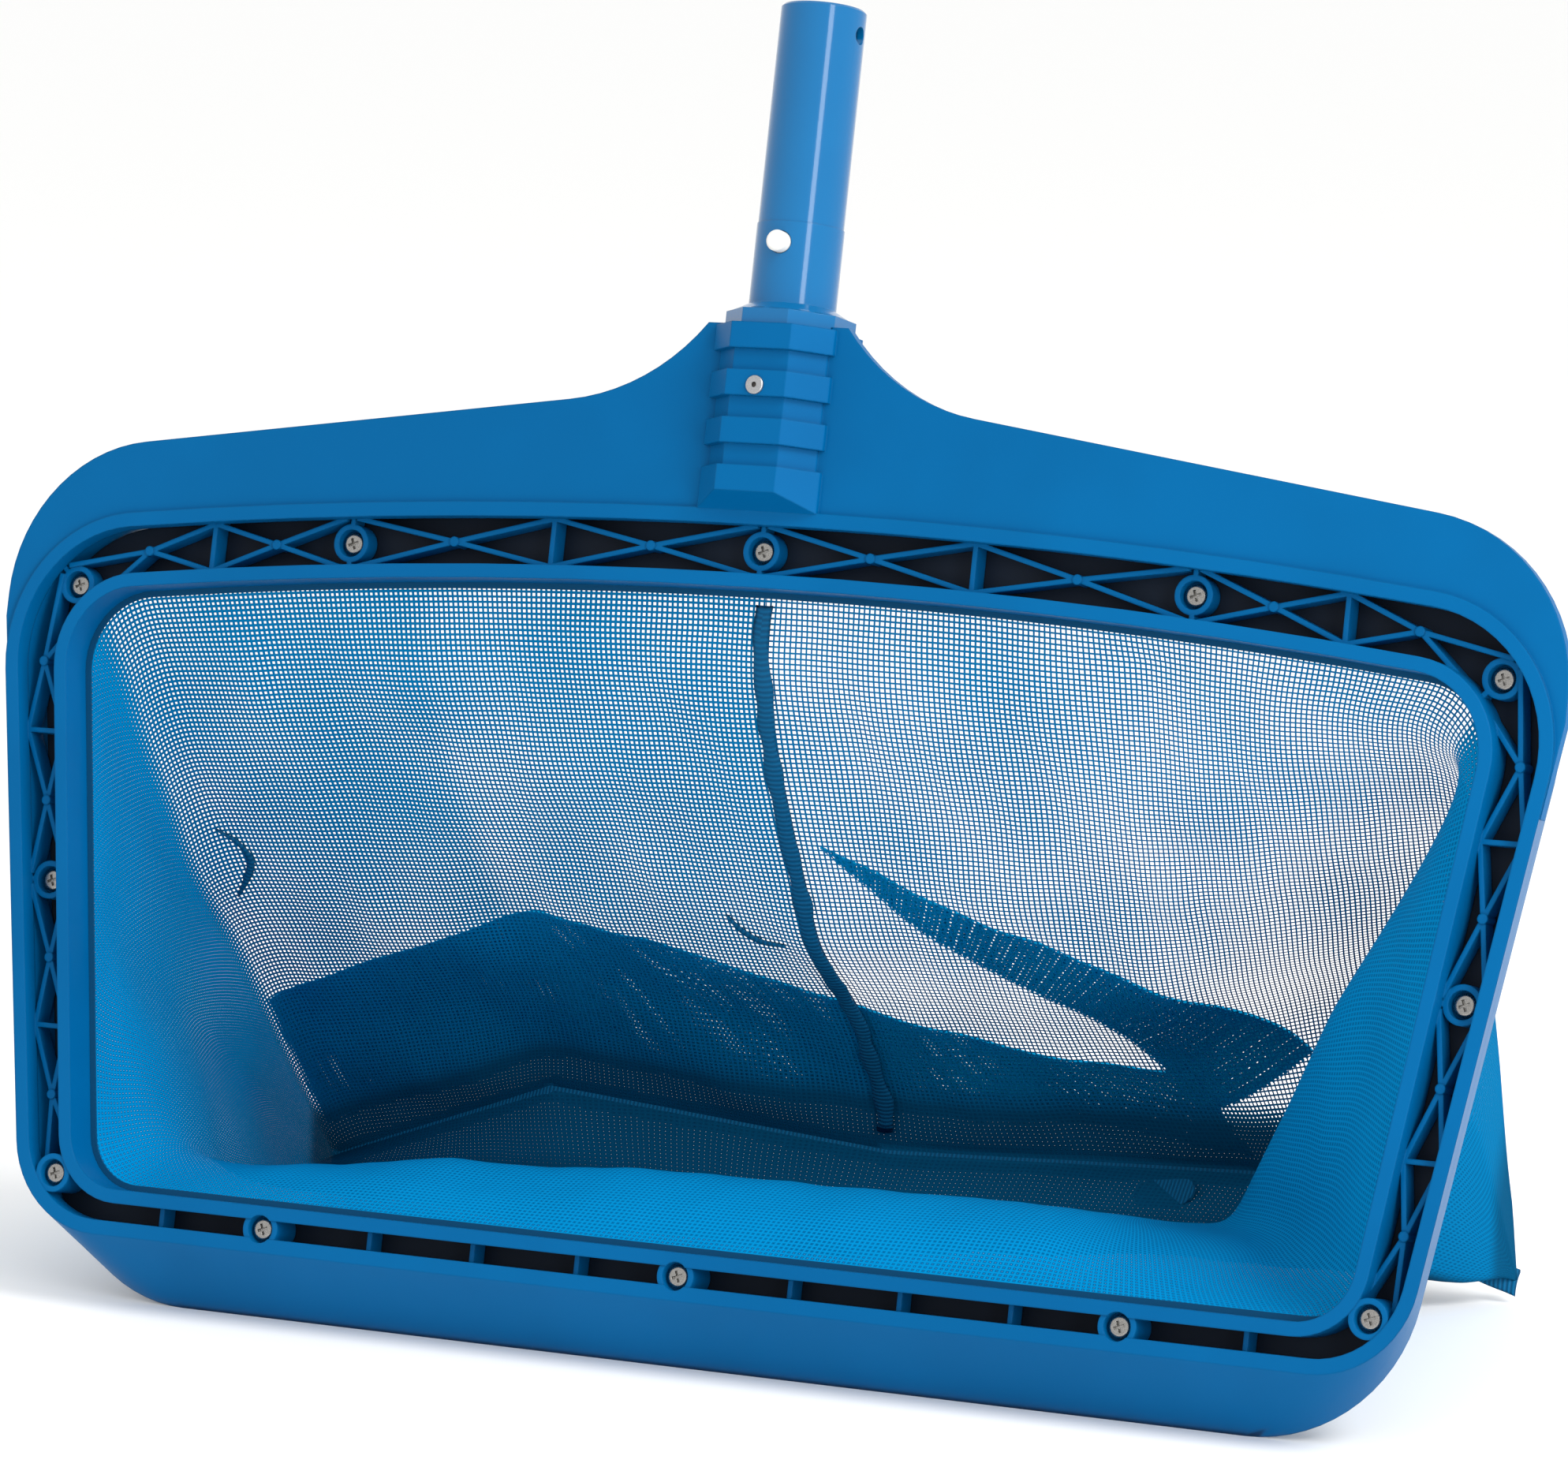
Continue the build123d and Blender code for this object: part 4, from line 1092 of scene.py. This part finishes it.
@dataclass
class NetBag:
    """The whole soft part: the bag, its folds, its seam, its tape and its tab."""

    head: HeadFrame
    # Dark strips where the netting is nipped: nipped netting with painted crease shade.
    pinch_shades: tuple[tuple[str, Sequence[tuple[float, float]]], ...] = (
        ("bag_pinch_shade_left", ((-237, 79), (-230, 84), (-228, 90), (-233, 97), (-239, 103))),
        ("bag_pinch_shade_middle", ((-39, 90), (-35, 96), (-28, 99), (-19, 98))),
    )
    pinch_shade_steps: int = 24
    pinch_shade_width: float = 3.0
    pinch_shade_depth: float = 0.8
    tab_radius: float = 5.5
    tab_straight: float = 7.0
    tab_thickness: float = 1.2
    tab_place: Point = (92, 190, 44)
    tab_turn: Point = (62, -6, -14)  # degrees about X, Y and Z
    pleats: tuple[Pleat, ...] = (
        Pleat(
            "bag_fold_left",
            ridge=((-250, 150), (-197, 130), (-134, 108), (-110, 107), (-64, 113), (0, 136),
                   (50, 156), (103, 172)),
            root=((-250, 203), (-200, 193), (-154, 184), (-111, 181), (-56, 179), (-15, 180),
                  (33, 183), (73, 188), (120, 197)),
        ),
        Pleat(
            "bag_fold_right",
            ridge=((4, 67), (56, 92), (103, 120), (146, 178)),
            root=((6, 69), (45, 108), (79, 140), (103, 184)),
            close=0.6,
        ),
    )

    def build(self) -> None:
        net = BAG_NET.material()
        # The folds take a lighter copy of the netting: painted light.
        fold_net_painted_light = FOLD_NET_PAINTED_LIGHT.material()
        cloth = SEAM_CLOTH.material()
        tape_cloth = END_TAPE.material()
        bag, rows = Bag(self.head).build(net)
        top = self.top_surface(rows)
        for pleat in self.pleats:
            pleat.build(self.head, top, fold_net_painted_light)
        for name, path in self.pinch_shades:
            self.pinch_shade(name, path, top, cloth)
        seam = self.seam(rows, cloth)
        tape = self.tape(rows, tape_cloth)
        tab = self.tab(tape_cloth)

    def top_surface(self, rows: list[list[Vector]]) -> BVHTree:
        """The bag's surface in drawing places, for other pieces to lie on."""
        across, deep = len(rows), len(rows[0])
        places = [p for row in rows for p in row]
        quads = [
            (n * deep + m, n * deep + m + 1, (n + 1) * deep + m + 1, (n + 1) * deep + m)
            for n in range(across - 1)
            for m in range(deep - 1)
        ]
        return BVHTree.FromPolygons(places, quads)

    def pinch_shade(
        self,
        name: str,
        path: Sequence[tuple[float, float]],
        top: BVHTree,
        finish: bpy.types.Material,
    ) -> None:
        """A short hooked dark strip where the netting is nipped under the top of the bag: partly
        the nipped netting, partly painted shade in the crease.

        Args:
            name: The piece's name.
            path: Plan places, (x, y), along it.
            top: The bag's surface in drawing coordinates.
            finish: The cloth.
        """
        steps = self.pinch_shade_steps
        inward = Vector((0, -0.5, -0.85))
        row = []
        for n in range(steps + 1):
            flat = along_row([Vector((*p, 0)) for p in path], n / steps)
            row.append(Vector((flat.x, flat.y, ground(top, flat))) + inward * self.pinch_shade_depth)

        def side(n: int) -> Vector:
            """The direction and half-width across the line, which tapers to its ends."""
            along = row[min(n + 1, steps)] - row[max(n - 1, 0)]
            wide = self.pinch_shade_width * math.sin(math.pi * (0.06 + 0.88 * n / steps))
            return inward.cross(along).normalized() * wide

        strip = Ribbon(name, "hem_fabric", 1.0, 0.5, "")
        strip.build(self.head, row, side, lambda n: inward, finish)

    def seam(self, rows: list[list[Vector]], finish: bpy.types.Material) -> bpy.types.Object:
        """The dark folded seam down the inside of the top of the bag."""
        inward = Vector((0, -0.55, -0.8))
        row = [p + inward * 1.2 for p in rows[0][1:-3]]
        strip = Ribbon("bag_seam", "hem_fabric", 6.2, 0.8, "bag_centre_seam", uneven=0.5)
        return strip.build(self.head, row, lambda n: Vector((1, 0, 0)), lambda n: inward, finish)

    def tape(self, rows: list[list[Vector]], finish: bpy.types.Material) -> bpy.types.Object:
        """The ribbed tape bound over the far seam."""
        ends = [row[-1] for row in rows]
        quarter = len(ends) // 4
        upper = ends[-quarter - 1 : -1] + ends[: quarter + 1]
        row = [p + Vector((0, 0.4, 0)) for p in upper]
        strip = Ribbon("bag_tape", "hem_fabric", 9.0, 1.0, "bag_end_tape", uneven=0.12)
        lean = Vector((0, 0.35, 0.94))
        return strip.build(self.head, row, lambda n: lean, lambda n: Vector((0, -1, 0.3)), finish)

    def tab(self, finish: bpy.types.Material) -> bpy.types.Object:
        """The small round-ended tab caught in the far seam."""
        mesh = bmesh.new()
        bmesh.ops.create_circle(mesh, cap_ends=True, segments=32, radius=self.tab_radius)
        for vert in mesh.verts:
            vert.co.x += self.tab_straight if vert.co.x > 0 else -self.tab_straight
        made = bmesh.ops.extrude_face_region(mesh, geom=mesh.faces[:])
        moved = [e for e in made["geom"] if isinstance(e, bmesh.types.BMVert)]
        bmesh.ops.translate(mesh, vec=(0, 0, self.tab_thickness), verts=moved)
        weave = mesh.loops.layers.uv.new(WEAVE_MAP)
        for face in mesh.faces:
            for loop in face.loops:
                loop[weave].uv = (loop.vert.co.x * MM, loop.vert.co.y * MM)
        turn = Euler([math.radians(angle) for angle in self.tab_turn]).to_matrix().to_4x4()
        put_there = Matrix.Translation(self.tab_place) @ turn
        bmesh.ops.transform(mesh, matrix=put_there, verts=mesh.verts)
        for vert in mesh.verts:
            vert.co = self.head.at(*vert.co)
        bmesh.ops.recalc_face_normals(mesh, faces=mesh.faces)
        piece = put("bag_tab", mesh, finish, "hem_fabric", smooth=False)
        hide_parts("bag_end_tab")
        return piece


# ---------------------------------------------------------------- studio
@dataclass
class Studio:
    """A white sheet, soft light from the upper right, and the camera."""

    head: HeadFrame
    azimuth: float = 25.96
    elevation: float = 8.70
    distance: float = 2.180
    lens: float = 152.2
    aim: Point = (13.8, 10.1, 180.5)
    glow: float = 1.05
    floor_reach: float = 40.0

    def look(self) -> Vector:
        """The direction that the camera looks in."""
        turn, rise = math.radians(self.azimuth), math.radians(self.elevation)
        return Vector(
            (-math.sin(turn) * math.cos(rise), math.cos(turn) * math.cos(rise), -math.sin(rise))
        )

    def camera(self) -> None:
        """Sets the camera up."""
        data = bpy.data.cameras.new("camera")
        data.lens = self.lens
        data.sensor_width = 36.0
        data.sensor_fit = "HORIZONTAL"
        data.clip_end = 100.0
        eye = bpy.data.objects.new("camera", data)
        eye.location = self.head.at(*self.aim) - self.look() * self.distance
        eye.rotation_euler = self.look().to_track_quat("-Z", "Y").to_euler()
        bpy.context.scene.collection.objects.link(eye)
        bpy.context.scene.camera = eye

    def lamp(self, name: str, place: Point, size: tuple[float, float], power: float) -> None:
        """Adds a soft light that faces the head.

        Args:
            name: The light's name.
            place: Where it hangs, in metres.
            size: Its width and height, in metres.
            power: Its power in watts.
        """
        data = bpy.data.lights.new(name, "AREA")
        data.shape = "RECTANGLE"
        data.size, data.size_y = size
        data.energy = power
        data.color = linear(WHITE)[:3]
        light = bpy.data.objects.new(name, data)
        light.location = place
        towards = Vector((0, 0, 0.2)) - Vector(place)
        light.rotation_euler = towards.to_track_quat("-Z", "Y").to_euler()
        bpy.context.scene.collection.objects.link(light)

    def floor(self) -> None:
        """Lays the white sheet."""
        mesh = bmesh.new()
        bmesh.ops.create_grid(mesh, x_segments=1, y_segments=1, size=self.floor_reach)
        data = bpy.data.meshes.new("floor")
        mesh.to_mesh(data)
        mesh.free()
        data.materials.append(FLOOR_PAPER.material())
        sheet = bpy.data.objects.new("floor", data)
        bpy.context.scene.collection.objects.link(sheet)

    def sky(self) -> None:
        """Fills the studio with even white light."""
        world = bpy.data.worlds.new("studio")
        world.use_nodes = True
        tree = world.node_tree
        tree.nodes.clear()
        glow = add_node(
            tree, "ShaderNodeBackground", inputs={"Color": linear(WHITE), "Strength": self.glow}
        )
        add_node(tree, "ShaderNodeOutputWorld", inputs={"Surface": glow.outputs[0]})
        bpy.context.scene.world = world

    def build(self) -> None:
        """Builds the whole studio."""
        self.camera()
        self.floor()
        self.sky()
        self.lamp("key", (1.9, -0.5, 1.9), (1.1, 1.1), 40.0)
        self.lamp("strip", (1.55, -1.3, 0.65), (0.42, 1.5), 16.0)
        bpy.context.scene.view_settings.view_transform = "Standard"


def main() -> None:
    """Builds the head's looks in order."""
    logging.basicConfig(level=logging.INFO, format="%(name)s: %(message)s")
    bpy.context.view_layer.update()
    head = HeadFrame()
    Studio(head).build()
    HardParts().dress()
    NetBag(head).build()
    bpy.context.view_layer.update()


if __name__ == "__main__":
    main()
